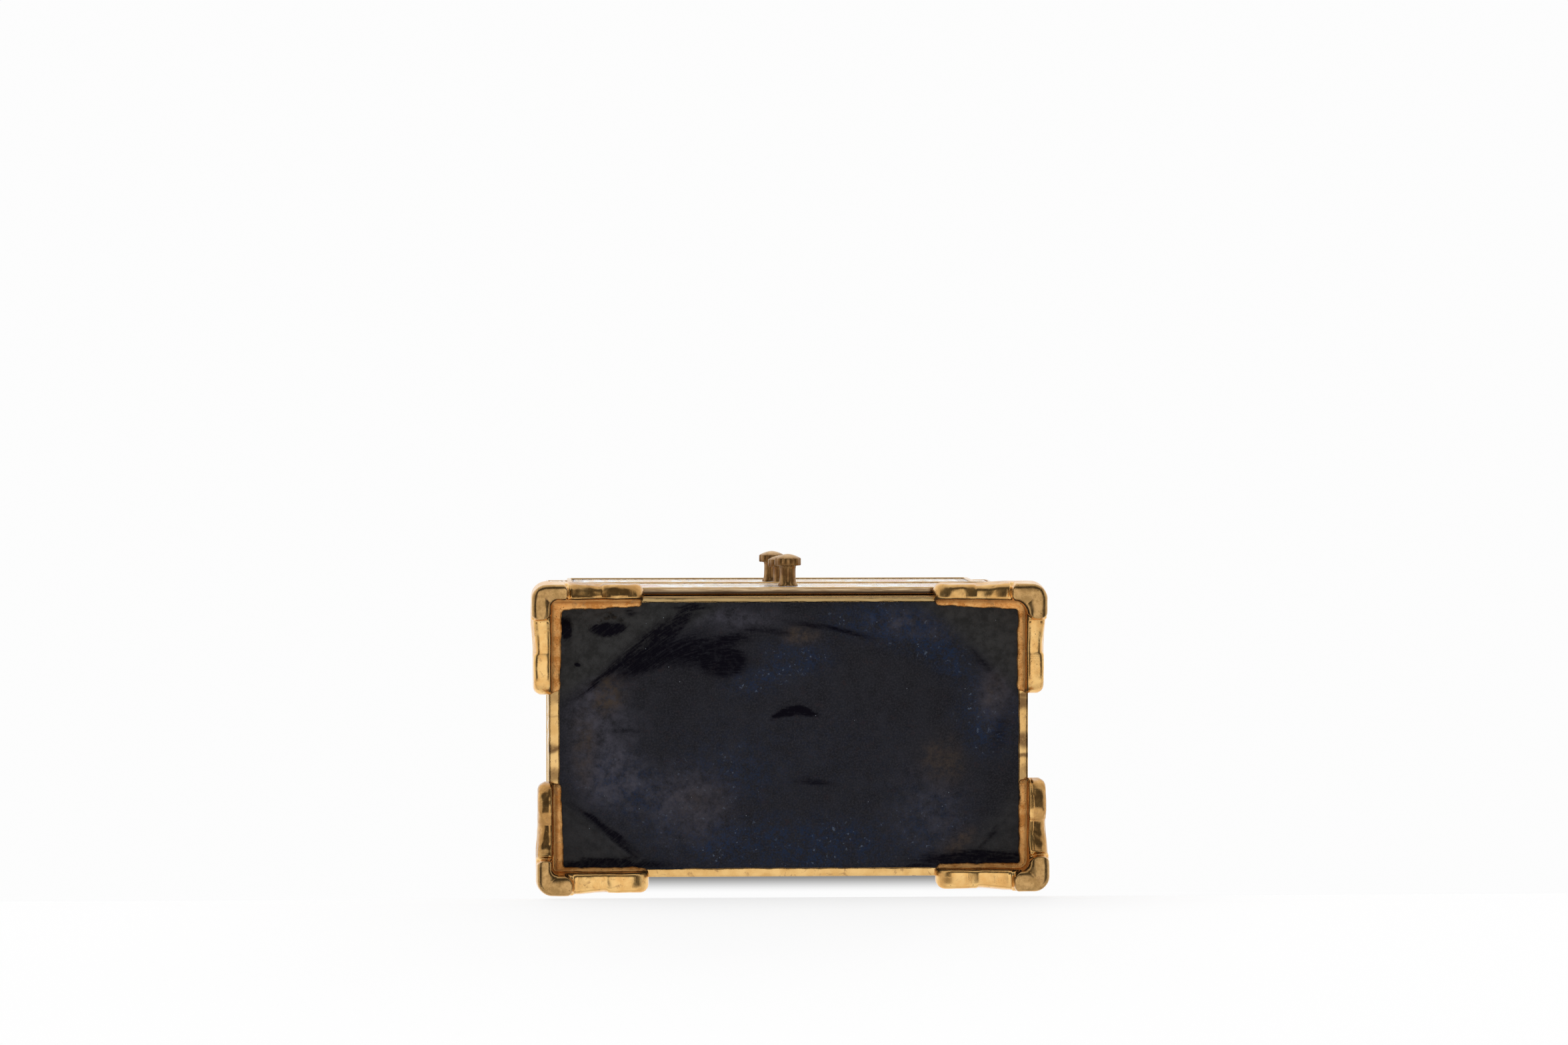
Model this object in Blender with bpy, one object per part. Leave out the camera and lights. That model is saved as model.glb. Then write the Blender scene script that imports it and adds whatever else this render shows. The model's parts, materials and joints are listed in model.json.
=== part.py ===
"""A small cloisonne chest of three drawers on four cast brass bracket feet.

Units are metres. X runs to the right as seen from the front, the front faces -Y, and the feet stand
on z = 0. The origin is at floor level, in the middle of the outer box of the whole object. The
bottom drawer stands slightly open, as it does when the chest lies on its back.
"""
import math

import bmesh
import bpy
from mathutils import Matrix, Vector

# Clearance between pieces that are soldered, set or screwed together
GAP = 0.0003

# Carcase
CASE_WIDTH = 0.1020
CASE_DEPTH = 0.0594
WALL = 0.0020
FLOOR = 0.0011
PANEL_BORDER = 0.0016
PANEL_SINK = 0.0009
ENAMEL = 0.0005
EDGE_ROUND = 0.00018
DRAFT = 0.00002

# Front frame
FRAME_THICK = 0.0016
STILE = 0.0044
MIDDLE_RAIL = 0.0025
TOP_RAIL = 0.0031
FRAME_BORDER = 0.00055
BOTTOM_OPENING = 0.0310
MIDDLE_OPENING = 0.0270
TOP_OPENING = 0.0270

# Runners that carry the drawers
RUNNER_THICK = 0.0010
GUIDE_HEIGHT = 0.0030

# Underside
RIM_HEIGHT = 0.0012
RIM_SIDE = 0.0021
RIM_BACK = 0.00185
RIM_FRONT = 0.00114
BASE_SINK = 0.00025

# Bracket feet
FOOT_HEIGHT = 0.0085
FOOT_REACH = 0.0200
FOOT_OUT = 0.0038
FOOT_INSET = 0.0003
FLANGE_WIDTH = 0.0025
FLANGE_THICK = 0.0010
TOE = 0.0041
TOE_STEP = 0.0008
STEP_RISE = 0.0024
CUSP = 0.0112
CUSP_RISE = 0.0043
LOBE = 0.0146
LOBE_RISE = 0.0031
END_RISE = 0.0056
FOOT_ROUND = 0.00042
END_ROUND = 0.0013
FOOT_FLARE = 0.0004
ARM_TAPER = 0.0004
ARCH_THIN = 0.0005

# Each foot: end, hand, side in x and y, and how far it was soldered off its true corner
FEET = (
    ("front", "left", -1, -1, 0.0, 0.0003),
    ("front", "right", 1, -1, -0.0002, 0.0003),
    ("back", "left", -1, 1, 0.0010, -0.0003),
    ("back", "right", 1, 1, 0.0003, -0.0008),
)

# Drawers
FRONT_THICK = 0.00155
FRONT_PROUD = 0.00065
FRONT_CLEAR = 0.0004
FRONT_BORDER = 0.0010
FRONT_SINK = 0.00105
BOTTOM_DRAWER_OPEN = 0.00135
TRAY_WALL = 0.0009
TRAY_CLEAR = 0.0005
TRAY_BACK_CLEAR = 0.0015
TRAY_DROP = 0.0015
LINING = 0.0009

# Knobs
STUD_RADIUS = 0.0009
SHANK_RADIUS = 0.00170
SHANK_LENGTH = 0.0041
HEAD_RADIUS = 0.00285
HEAD_BAND = 0.00145
HEAD_DOME = 0.0010
PETALS = 8
PETAL_DEPTH = 0.09
KNOB_SIDES = 32
NUT_RADIUS = 0.0021
NUT_THICK = 0.0012
STUD_END = 0.0005
BOTTOM_KNOB_SHIFT = 0.00075
MIDDLE_KNOB_SHIFT = 0.0009
TOP_KNOB_SHIFT = 0.0003

# Places that follow from the sizes above; z is measured from the floor, y from the case's middle
FRONT_Y = -CASE_DEPTH / 2
BACK_Y = CASE_DEPTH / 2
HALF_WIDTH = CASE_WIDTH / 2
SHELL_FRONT_Y = FRONT_Y + FRAME_THICK + GAP
CASE_Z = FOOT_HEIGHT + RIM_HEIGHT + GAP
BOTTOM_RAIL = FLOOR + GAP + RUNNER_THICK
OPENING_HALF = HALF_WIDTH - STILE
BOTTOM_Z = CASE_Z + BOTTOM_RAIL
MIDDLE_Z = BOTTOM_Z + BOTTOM_OPENING + MIDDLE_RAIL
TOP_Z = MIDDLE_Z + MIDDLE_OPENING + MIDDLE_RAIL
CASE_TOP_Z = TOP_Z + TOP_OPENING + TOP_RAIL
FRONT_FACE_Y = FRONT_Y - FRONT_PROUD
FRONT_BACK_Y = FRONT_FACE_Y + FRONT_THICK
ENAMEL_FACE_Y = FRONT_FACE_Y + FRONT_SINK - GAP - ENAMEL
TRAY_FRONT_Y = FRONT_BACK_Y + GAP
TRAY_BACK_Y = BACK_Y - WALL - TRAY_BACK_CLEAR
KNOB_BASE_Y = ENAMEL_FACE_Y - GAP
KNOB_LENGTH = SHANK_LENGTH + HEAD_BAND + HEAD_DOME
KNOB_TIP_Y = KNOB_BASE_Y - KNOB_LENGTH - BOTTOM_DRAWER_OPEN
FOOT_CORNERS_X = [side * (HALF_WIDTH + FOOT_OUT) + shift for _, _, side, _, shift, _ in FEET]
FOOT_CORNERS_Y = [side * (BACK_Y + FOOT_OUT) + shift for _, _, _, side, _, shift in FEET]
CASE_X = -(min(FOOT_CORNERS_X) + max(FOOT_CORNERS_X)) / 2
CASE_Y = -(KNOB_TIP_Y + max(FOOT_CORNERS_Y)) / 2

# Each drawer: name, bottom and height of its opening, how far it stands open, knob off the middle
DRAWERS = (
    ("bottom", BOTTOM_Z, BOTTOM_OPENING, BOTTOM_DRAWER_OPEN, BOTTOM_KNOB_SHIFT),
    ("middle", MIDDLE_Z, MIDDLE_OPENING, 0.0, MIDDLE_KNOB_SHIFT),
    ("top", TOP_Z, TOP_OPENING, 0.0, TOP_KNOB_SHIFT),
)


def clear_scene():
    """Remove every object that the file starts with."""
    for old in list(bpy.data.objects):
        bpy.data.objects.remove(old, do_unlink=True)


def material(name, color, roughness, metallic):
    """Plain Principled material in one of the object's own colours."""
    made = bpy.data.materials.new(name)
    made.use_nodes = True
    shader = made.node_tree.nodes["Principled BSDF"]
    shader.inputs["Base Color"].default_value = (*color, 1.0)
    shader.inputs["Roughness"].default_value = roughness
    shader.inputs["Metallic"].default_value = metallic
    return made


def make_materials():
    """The five finishes of the chest."""
    return {
        "brass": material("gilt_brass", (0.72, 0.48, 0.16), 0.28, 1.0),
        "sheet": material("sheet_brass", (0.60, 0.42, 0.20), 0.40, 1.0),
        "enamel": material("ivory_enamel", (0.84, 0.86, 0.88), 0.12, 0.0),
        "base": material("navy_enamel", (0.012, 0.014, 0.022), 0.10, 0.0),
        "velvet": material("blue_velvet", (0.02, 0.05, 0.16), 0.90, 0.0),
    }


def empty(name, parent=None):
    """An empty that carries the pieces of one assembly."""
    made = bpy.data.objects.new(name, None)
    bpy.context.scene.collection.objects.link(made)
    made.parent = parent
    return made


def add_object(name, mesh_builder, finish, parent, smooth=False):
    """Turn a finished bmesh into a named object."""
    bmesh.ops.recalc_face_normals(mesh_builder, faces=mesh_builder.faces[:])
    mesh = bpy.data.meshes.new(name)
    mesh_builder.to_mesh(mesh)
    mesh_builder.free()
    if smooth:
        mesh.shade_smooth()
        mesh.set_sharp_from_angle(angle=math.radians(38))
    mesh.materials.append(finish)
    made = bpy.data.objects.new(name, mesh)
    bpy.context.scene.collection.objects.link(made)
    made.parent = parent
    return made


def round_edges(obj, width=EDGE_ROUND):
    """Take the sharpness off a piece's edges."""
    bevel = obj.modifiers.new("edge_round", "BEVEL")
    bevel.width = width
    bevel.segments = 1
    bevel.limit_method = "ANGLE"
    bevel.angle_limit = math.radians(40)


def cut(obj, cutter):
    """Subtract a guide shape from a piece."""
    hole = obj.modifiers.new("hole", "BOOLEAN")
    hole.operation = "DIFFERENCE"
    hole.solver = "EXACT"
    hole.object = cutter


def box(low, high):
    """Block between two opposite corners."""
    low = Vector(low)
    high = Vector(high)
    made = bmesh.new()
    place = Matrix.Translation((low + high) / 2) @ Matrix.Diagonal((*(high - low), 1.0))
    bmesh.ops.create_cube(made, size=1.0, matrix=place)
    return made


def outer_face(solid, direction):
    """The face of a block that looks along the given direction."""
    solid.faces.ensure_lookup_table()
    solid.normal_update()
    return max(solid.faces, key=lambda face: face.normal.dot(Vector(direction)))


def sink(solid, faces, border, depth):
    """Leave a border round a field of faces and lower the field inside it."""
    bmesh.ops.inset_region(solid, faces=faces, thickness=border, depth=0.0, use_even_offset=True)
    bmesh.ops.inset_region(solid, faces=faces, thickness=DRAFT, depth=-depth, use_even_offset=True)


def slab(name, low, high, finish, parent):
    """A thin plate with its edges eased."""
    made = add_object(name, box(low, high), finish, parent)
    round_edges(made, min(EDGE_ROUND, 0.3 * min(b - a for a, b in zip(low, high))))
    return made


def front_plate(columns, rows, open_cells, y_front, thickness):
    """Upright plate on a grid of columns and rows, with some cells left open."""
    solid = bmesh.new()
    layers = []
    for y in (y_front, y_front + thickness):
        layers.append([[solid.verts.new((x, y, z)) for z in rows] for x in columns])
    front, back = layers
    filled = set()
    for i in range(len(columns) - 1):
        for j in range(len(rows) - 1):
            if (i, j) not in open_cells:
                filled.add((i, j))
    front_faces = []
    for i, j in sorted(filled):
        corners = ((i, j), (i + 1, j), (i + 1, j + 1), (i, j + 1))
        front_faces.append(solid.faces.new([front[a][b] for a, b in corners]))
        solid.faces.new([back[a][b] for a, b in reversed(corners)])
        beside = ((i, j - 1), (i + 1, j), (i, j + 1), (i - 1, j))
        for k, neighbour in enumerate(beside):
            if neighbour in filled:
                continue
            a, b = corners[k]
            c, d = corners[(k + 1) % 4]
            solid.faces.new((front[c][d], front[a][b], back[a][b], back[c][d]))
    used = {vert for face in solid.faces for vert in face.verts}
    bmesh.ops.delete(solid, geom=[v for v in solid.verts if v not in used], context="VERTS")
    solid.normal_update()
    return solid, front_faces


def rectangle_ring(outer, inner, profile):
    """Moulding that runs round a rectangle with mitred corners.

    outer and inner are (x0, x1, y0, y1); profile is a closed list of (share of the width, z).
    """
    solid = bmesh.new()
    loops = []
    for share, z in profile:
        x0, x1, y0, y1 = (a + (b - a) * share for a, b in zip(outer, inner))
        corners = ((x0, y0), (x1, y0), (x1, y1), (x0, y1))
        loops.append([solid.verts.new((x, y, z)) for x, y in corners])
    for k, loop in enumerate(loops):
        following = loops[(k + 1) % len(loops)]
        for c in range(4):
            d = (c + 1) % 4
            solid.faces.new((loop[c], loop[d], following[d], following[c]))
    return solid


def turned(rings, sides, petals=0):
    """Solid turned about +Z from (z, radius, petal depth) rings; petals groove it lengthwise."""
    solid = bmesh.new()
    loops = []
    for z, radius, depth in rings:
        loop = []
        for k in range(sides):
            angle = 2 * math.pi * k / sides
            groove = ((1 + math.cos(petals * angle)) / 2) ** 2 if petals else 0.0
            r = radius * (1 - depth * groove)
            loop.append(solid.verts.new((r * math.cos(angle), r * math.sin(angle), z)))
        loops.append(loop)
    for low, high in zip(loops, loops[1:]):
        for k in range(sides):
            m = (k + 1) % sides
            solid.faces.new((low[k], low[m], high[m], high[k]))
    solid.faces.new(reversed(loops[0]))
    solid.faces.new(loops[-1])
    return solid


def build_shell(finish, parent):
    """Box open at the front, with a sunk field for the enamel on its sides, back and top."""
    solid = box((-HALF_WIDTH, SHELL_FRONT_Y, CASE_Z), (HALF_WIDTH, BACK_Y, CASE_TOP_Z))
    for direction in ((-1, 0, 0), (1, 0, 0), (0, 1, 0), (0, 0, 1)):
        sink(solid, [outer_face(solid, direction)], PANEL_BORDER, PANEL_SINK)
    shell = add_object("case_shell", solid, finish, parent)
    round_edges(shell)
    inside = box((-HALF_WIDTH + WALL, SHELL_FRONT_Y - WALL, CASE_Z + FLOOR),
                 (HALF_WIDTH - WALL, BACK_Y - WALL, CASE_TOP_Z - WALL))
    cutter = add_object("shell_inside", inside, finish, parent)
    guide_only(cutter)
    cut(shell, cutter)


def guide_only(obj):
    """Mark a cutter, which is no piece of the chest."""
    obj.hide_render = True
    obj.display_type = "WIRE"


def build_panels(finish, parent):
    """Enamel panels in the sunk fields of the shell."""
    edge = PANEL_BORDER + GAP + DRAFT
    deep = PANEL_SINK - GAP
    shallow = deep - ENAMEL
    low_y = SHELL_FRONT_Y + edge
    high_y = BACK_Y - edge
    low_z = CASE_Z + edge
    high_z = CASE_TOP_Z - edge
    half = HALF_WIDTH - edge
    slab("left_enamel", (-HALF_WIDTH + shallow, low_y, low_z),
         (-HALF_WIDTH + deep, high_y, high_z), finish, parent)
    slab("right_enamel", (HALF_WIDTH - deep, low_y, low_z),
         (HALF_WIDTH - shallow, high_y, high_z), finish, parent)
    slab("back_enamel", (-half, BACK_Y - deep, low_z), (half, BACK_Y - shallow, high_z), finish, parent)
    slab("top_enamel", (-half, low_y, CASE_TOP_Z - deep), (half, high_y, CASE_TOP_Z - shallow),
         finish, parent)


def frame_grid(border):
    """Columns and rows of the face frame, drawn in from all its edges by a border."""
    columns = [-HALF_WIDTH + border, -OPENING_HALF - border,
               OPENING_HALF + border, HALF_WIDTH - border]
    rows = [CASE_Z + border]
    for _, z, height, _, _ in DRAWERS:
        rows += [z - border, z + height + border]
    rows.append(CASE_TOP_Z - border)
    return columns, rows


FRAME_OPENINGS = {(1, 1), (1, 3), (1, 5)}


def build_face_frame(brass, enamel, parent):
    """Brass frame with the drawer openings, and the enamel that fills its sunk face."""
    columns, rows = frame_grid(0.0)
    solid, faces = front_plate(columns, rows, FRAME_OPENINGS, FRONT_Y, FRAME_THICK)
    sink(solid, faces, FRAME_BORDER, PANEL_SINK)
    add_object("face_frame", solid, brass, parent)
    columns, rows = frame_grid(FRAME_BORDER + DRAFT + GAP)
    y_front = FRONT_Y + PANEL_SINK - GAP - ENAMEL
    solid, _ = front_plate(columns, rows, FRAME_OPENINGS, y_front, ENAMEL)
    add_object("frame_enamel", solid, enamel, parent)


def build_base(brass, enamel, parent):
    """Half-round moulding round the underside and the enamel panel inside it."""
    outer = (-HALF_WIDTH, HALF_WIDTH, FRONT_Y, BACK_Y)
    inner = (-HALF_WIDTH + RIM_SIDE, HALF_WIDTH - RIM_SIDE, FRONT_Y + RIM_FRONT, BACK_Y - RIM_BACK)
    top_z = FOOT_HEIGHT + RIM_HEIGHT
    profile = [(0.0, top_z)]
    arc_steps = 6
    for k in range(arc_steps + 1):
        angle = math.pi * k / arc_steps
        drop = 0.5 + 0.5 * math.sin(angle)
        profile.append((0.5 - 0.5 * math.cos(angle), top_z - RIM_HEIGHT * drop))
    profile.append((1.0, top_z))
    rim = rectangle_ring(outer, inner, profile)
    add_object("base_rim", rim, brass, parent, smooth=True)
    low_x, high_x, low_y, high_y = inner
    slab("base_enamel", (low_x + GAP, low_y + GAP, FOOT_HEIGHT + BASE_SINK),
         (high_x - GAP, high_y - GAP, CASE_Z - GAP), enamel, parent)


def build_runners(finish, parent):
    """Shelves with upturned guides, flush with the lower edge of each drawer opening."""
    half = HALF_WIDTH - WALL - GAP
    y0 = SHELL_FRONT_Y
    y1 = BACK_Y - WALL - GAP
    for name, z, _, _, _ in DRAWERS:
        section = (
            (-half, z - RUNNER_THICK), (half, z - RUNNER_THICK), (half, z + GUIDE_HEIGHT),
            (OPENING_HALF, z + GUIDE_HEIGHT), (OPENING_HALF, z), (-OPENING_HALF, z),
            (-OPENING_HALF, z + GUIDE_HEIGHT), (-half, z + GUIDE_HEIGHT),
        )
        solid = bmesh.new()
        front = [solid.verts.new((x, y0, height)) for x, height in section]
        back = [solid.verts.new((x, y1, height)) for x, height in section]
        solid.faces.new(front)
        solid.faces.new(reversed(back))
        for k in range(len(section)):
            m = (k + 1) % len(section)
            solid.faces.new((front[m], front[k], back[k], back[m]))
        add_object(f"{name}_runner", solid, finish, parent)


def foot_lower_edge(a):
    """Height of a foot's lower edge above the floor, at distance a along an arm from the corner."""
    if a <= TOE:
        return 0.0
    if a <= TOE + TOE_STEP:
        t = (a - TOE) / TOE_STEP
        return STEP_RISE * t * t * (3 - 2 * t)
    if a <= CUSP:
        t = (a - TOE - TOE_STEP) / (CUSP - TOE - TOE_STEP)
        return STEP_RISE + (CUSP_RISE - STEP_RISE) * math.sin(t * math.pi / 2)
    if a <= LOBE:
        t = (LOBE - a) / (LOBE - CUSP)
        return LOBE_RISE + (CUSP_RISE - LOBE_RISE) * t ** 3
    t = (a - LOBE) / (FOOT_REACH - LOBE)
    return LOBE_RISE + (END_RISE - LOBE_RISE) * t ** 2.5


def foot_upper_width(a):
    """How far a foot's outer face stands out from the case at its top, narrower along the arm."""
    t = min(1.0, max(0.0, (a - TOE) / (CUSP - TOE)))
    return FOOT_OUT - ARM_TAPER * t * t * (3 - 2 * t)


def foot_lower_width(a):
    """How far a foot's lower edge stands out from the case, at distance a along an arm."""
    thin = ARCH_THIN if TOE < a < CUSP + ARCH_THIN else 0.0
    return foot_upper_width(a) - FOOT_FLARE - thin


def end_draw_in(a):
    """How far a foot's outer face draws in where the end of an arm is rounded in plan."""
    t = max(0.0, (a - FOOT_REACH + END_ROUND) / END_ROUND)
    return END_ROUND * (1 - math.sqrt(max(0.0, 1 - t * t)))


def foot_section(a, soften):
    """Closed cross-section of a foot as (distance out, z, follows the outer arc)."""
    low = foot_lower_edge(a) + soften
    drawn_in = end_draw_in(a) + soften
    out_low = foot_lower_width(a) - drawn_in
    out = foot_upper_width(a) - drawn_in
    top = FOOT_HEIGHT - GAP
    flange_low = top - FLANGE_THICK
    corner = 0.3 * FOOT_ROUND
    return (
        (-FLANGE_WIDTH, top, False),
        (out - FOOT_ROUND, top, True),
        (out - corner, top - corner, True),
        (out, top - FOOT_ROUND, True),
        ((out + out_low) / 2, (top + low) / 2, True),
        (out_low, low + FOOT_ROUND, True),
        (out_low - corner, low + corner, True),
        (out_low - FOOT_ROUND, low, True),
        (FOOT_ROUND - FOOT_INSET, low, False),
        (-FOOT_INSET, low + FOOT_ROUND, False),
        (-FOOT_INSET, flange_low - FOOT_ROUND, False),
        (-FOOT_INSET - FOOT_ROUND, flange_low, False),
        (-FLANGE_WIDTH, flange_low, False),
    )


def foot_stations():
    """Distances along an arm, closer together where the lower edge bends."""
    toe = [0.0, TOE - FOOT_ROUND]
    step = [TOE + TOE_STEP * k / 3 for k in range(4)]
    arch_start = TOE + TOE_STEP
    arch = [arch_start + (CUSP - arch_start) * k / 4 for k in range(1, 5)]
    lobe_in = [CUSP + ARCH_THIN, LOBE]
    lobe_end = FOOT_REACH - END_ROUND
    lobe_out = [LOBE + (lobe_end - LOBE) * k / 3 for k in range(1, 4)]
    round_end = [lobe_end + END_ROUND * math.sin(math.pi / 8 * k) for k in range(1, 4)]
    return toe + step + arch + lobe_in + lobe_out + round_end + [FOOT_REACH]


def build_foot(name, side_x, side_y, shift, finish, parent):
    """Cast bracket foot under a corner of the rim, with a flange that reaches further in.

    side_x and side_y are -1 or 1 and say which corner the foot is at; shift is its (x, y) setting.
    """
    solid = bmesh.new()
    shared = {}

    def vertex(inward_x, inward_y, z):
        """One vertex per place, given as distances in from the case's corner."""
        key = (round(inward_x, 7), round(inward_y, 7), round(z, 7))
        if key not in shared:
            x = side_x * (HALF_WIDTH - inward_x) + shift[0]
            y = side_y * (BACK_Y - inward_y) + shift[1]
            shared[key] = solid.verts.new((x, y, z))
        return shared[key]

    rings = []
    stations = foot_stations()
    for a in reversed(stations):
        soften = FOOT_ROUND if a == FOOT_REACH else 0.0
        inner_a = max(a, FLANGE_WIDTH + GAP)
        ring = [vertex(a if follows else inner_a, -u, z)
                for u, z, follows in foot_section(a, soften)]
        rings.append(ring)
    corner_steps = 6
    for k in range(1, corner_steps):
        angle = math.pi / 2 * k / corner_steps
        ring = []
        for u, z, follows in foot_section(0.0, 0.0):
            if follows:
                ring.append(vertex(-u * math.sin(angle), -u * math.cos(angle), z))
            else:
                ring.append(vertex(-u, -u, z))
        rings.append(ring)
    for a in stations:
        soften = FOOT_ROUND if a == FOOT_REACH else 0.0
        inner_a = max(a, FLANGE_WIDTH + GAP)
        ring = [vertex(-u, a if follows else inner_a, z)
                for u, z, follows in foot_section(a, soften)]
        rings.append(ring)

    for ring, following in zip(rings, rings[1:]):
        for k in range(len(ring)):
            m = (k + 1) % len(ring)
            corners = []
            for vert in (ring[k], ring[m], following[m], following[k]):
                if vert not in corners:
                    corners.append(vert)
            if len(corners) > 2:
                solid.faces.new(corners)
    solid.faces.new(rings[0])
    solid.faces.new(reversed(rings[-1]))
    add_object(name, solid, finish, parent, smooth=True)


def knob_rings(stud_length):
    """Rings of the knob along its axis, from the stud's inner end to the crown."""
    head = SHANK_LENGTH
    band = head + HEAD_BAND
    rings = [
        (-stud_length, STUD_RADIUS * 0.8, 0.0),
        (-stud_length + STUD_RADIUS * 0.2, STUD_RADIUS, 0.0),
        (0.0, STUD_RADIUS, 0.0),
        (0.0, SHANK_RADIUS * 1.06, PETAL_DEPTH / 2),
        (SHANK_RADIUS * 0.3, SHANK_RADIUS, PETAL_DEPTH / 2),
        (head, SHANK_RADIUS, PETAL_DEPTH / 2),
        (head, HEAD_RADIUS * 0.94, PETAL_DEPTH),
        (head + HEAD_BAND * 0.12, HEAD_RADIUS, PETAL_DEPTH),
        (band, HEAD_RADIUS, PETAL_DEPTH),
    ]
    dome_steps = 5
    for k in range(1, dome_steps + 1):
        angle = math.pi / 2 * k / (dome_steps + 0.4)
        rings.append((band + HEAD_DOME * math.sin(angle), HEAD_RADIUS * math.cos(angle), PETAL_DEPTH))
    crown = math.sin(math.pi / 2 * dome_steps / (dome_steps + 0.4))
    return [(z if z <= band else band + (z - band) / crown, r, d) for z, r, d in rings]


def build_drawer(name, z, height, opened, knob_shift, finishes, parent):
    """One drawer: tray, front plate, enamel, knob, nut and lining."""
    carrier = empty(f"{name}_drawer", parent)
    carrier.location = (0.0, -opened, 0.0)
    middle_z = z + height / 2
    front_half = OPENING_HALF - FRONT_CLEAR
    low_z = z + FRONT_CLEAR
    high_z = z + height - FRONT_CLEAR

    stud_way = turned([(-FRONT_THICK, STUD_RADIUS + GAP, 0.0),
                       (FRONT_THICK + TRAY_WALL + 4 * GAP, STUD_RADIUS + GAP, 0.0)], 16)
    bmesh.ops.rotate(stud_way, verts=stud_way.verts[:], cent=(0, 0, 0),
                     matrix=Matrix.Rotation(-math.pi / 2, 3, "X"))
    way = add_object(f"{name}_stud_way", stud_way, finishes["sheet"], carrier)
    way.location = (knob_shift, FRONT_FACE_Y, middle_z)
    guide_only(way)

    solid = box((-front_half, FRONT_FACE_Y, low_z), (front_half, FRONT_BACK_Y, high_z))
    sink(solid, [outer_face(solid, (0, -1, 0))], FRONT_BORDER, FRONT_SINK)
    plate = add_object(f"{name}_drawer_front", solid, finishes["brass"], carrier)
    round_edges(plate)
    cut(plate, way)

    edge = FRONT_BORDER + DRAFT + GAP
    enamel = slab(f"{name}_drawer_enamel", (-front_half + edge, ENAMEL_FACE_Y, low_z + edge),
                  (front_half - edge, ENAMEL_FACE_Y + ENAMEL, high_z - edge),
                  finishes["enamel"], carrier)
    cut(enamel, way)

    tray_half = OPENING_HALF - TRAY_CLEAR
    tray_low = z + FRONT_CLEAR
    tray_high = z + height - TRAY_DROP
    solid = box((-tray_half, TRAY_FRONT_Y, tray_low), (tray_half, TRAY_BACK_Y, tray_high))
    sink(solid, [outer_face(solid, (0, 0, 1))], TRAY_WALL, tray_high - tray_low - TRAY_WALL)
    tray = add_object(f"{name}_drawer_tray", solid, finishes["sheet"], carrier)
    cut(tray, way)

    inside = tray_half - TRAY_WALL - GAP - DRAFT
    lining_low = tray_low + TRAY_WALL + GAP
    slab(f"{name}_drawer_lining",
         (-inside, TRAY_FRONT_Y + TRAY_WALL + GAP + DRAFT, lining_low),
         (inside, TRAY_BACK_Y - TRAY_WALL - GAP - DRAFT, lining_low + LINING),
         finishes["velvet"], carrier)

    nut_face = TRAY_FRONT_Y + TRAY_WALL + GAP
    stud_length = nut_face + NUT_THICK + STUD_END - KNOB_BASE_Y
    knob = add_object(f"{name}_drawer_knob", turned(knob_rings(stud_length), KNOB_SIDES, PETALS),
                      finishes["brass"], carrier, smooth=True)
    knob.location = (knob_shift, KNOB_BASE_Y, middle_z)
    knob.rotation_euler = (math.pi / 2, 0.0, 0.0)

    nut_rings = [(0.0, NUT_RADIUS, 0.0), (NUT_THICK, NUT_RADIUS, 0.0)]
    nut = add_object(f"{name}_drawer_nut", turned(nut_rings, 6), finishes["brass"], carrier)
    nut.location = (knob_shift, nut_face, middle_z)
    nut.rotation_euler = (-math.pi / 2, 0.0, 0.0)
    nut_way = add_object(f"{name}_nut_way",
                         turned([(-GAP, STUD_RADIUS + GAP, 0.0),
                                 (NUT_THICK + GAP, STUD_RADIUS + GAP, 0.0)], 16),
                         finishes["sheet"], carrier)
    nut_way.location = nut.location
    nut_way.rotation_euler = nut.rotation_euler
    guide_only(nut_way)
    cut(nut, nut_way)


def build_chest():
    """The whole chest."""
    clear_scene()
    finishes = make_materials()
    cabinet = empty("cabinet")
    cabinet.location = (CASE_X, CASE_Y, 0.0)
    build_shell(finishes["brass"], cabinet)
    build_panels(finishes["enamel"], cabinet)
    build_face_frame(finishes["brass"], finishes["enamel"], cabinet)
    build_base(finishes["brass"], finishes["base"], cabinet)
    build_runners(finishes["sheet"], cabinet)
    for end, hand, side_x, side_y, shift_x, shift_y in FEET:
        build_foot(f"foot_{end}_{hand}", side_x, side_y, (shift_x, shift_y), finishes["brass"], cabinet)
    for name, z, height, opened, knob_shift in DRAWERS:
        build_drawer(name, z, height, opened, knob_shift, finishes, cabinet)


build_chest()
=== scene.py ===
import json
import math

import bpy
import numpy as np
from mathutils import Matrix, Vector


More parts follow.
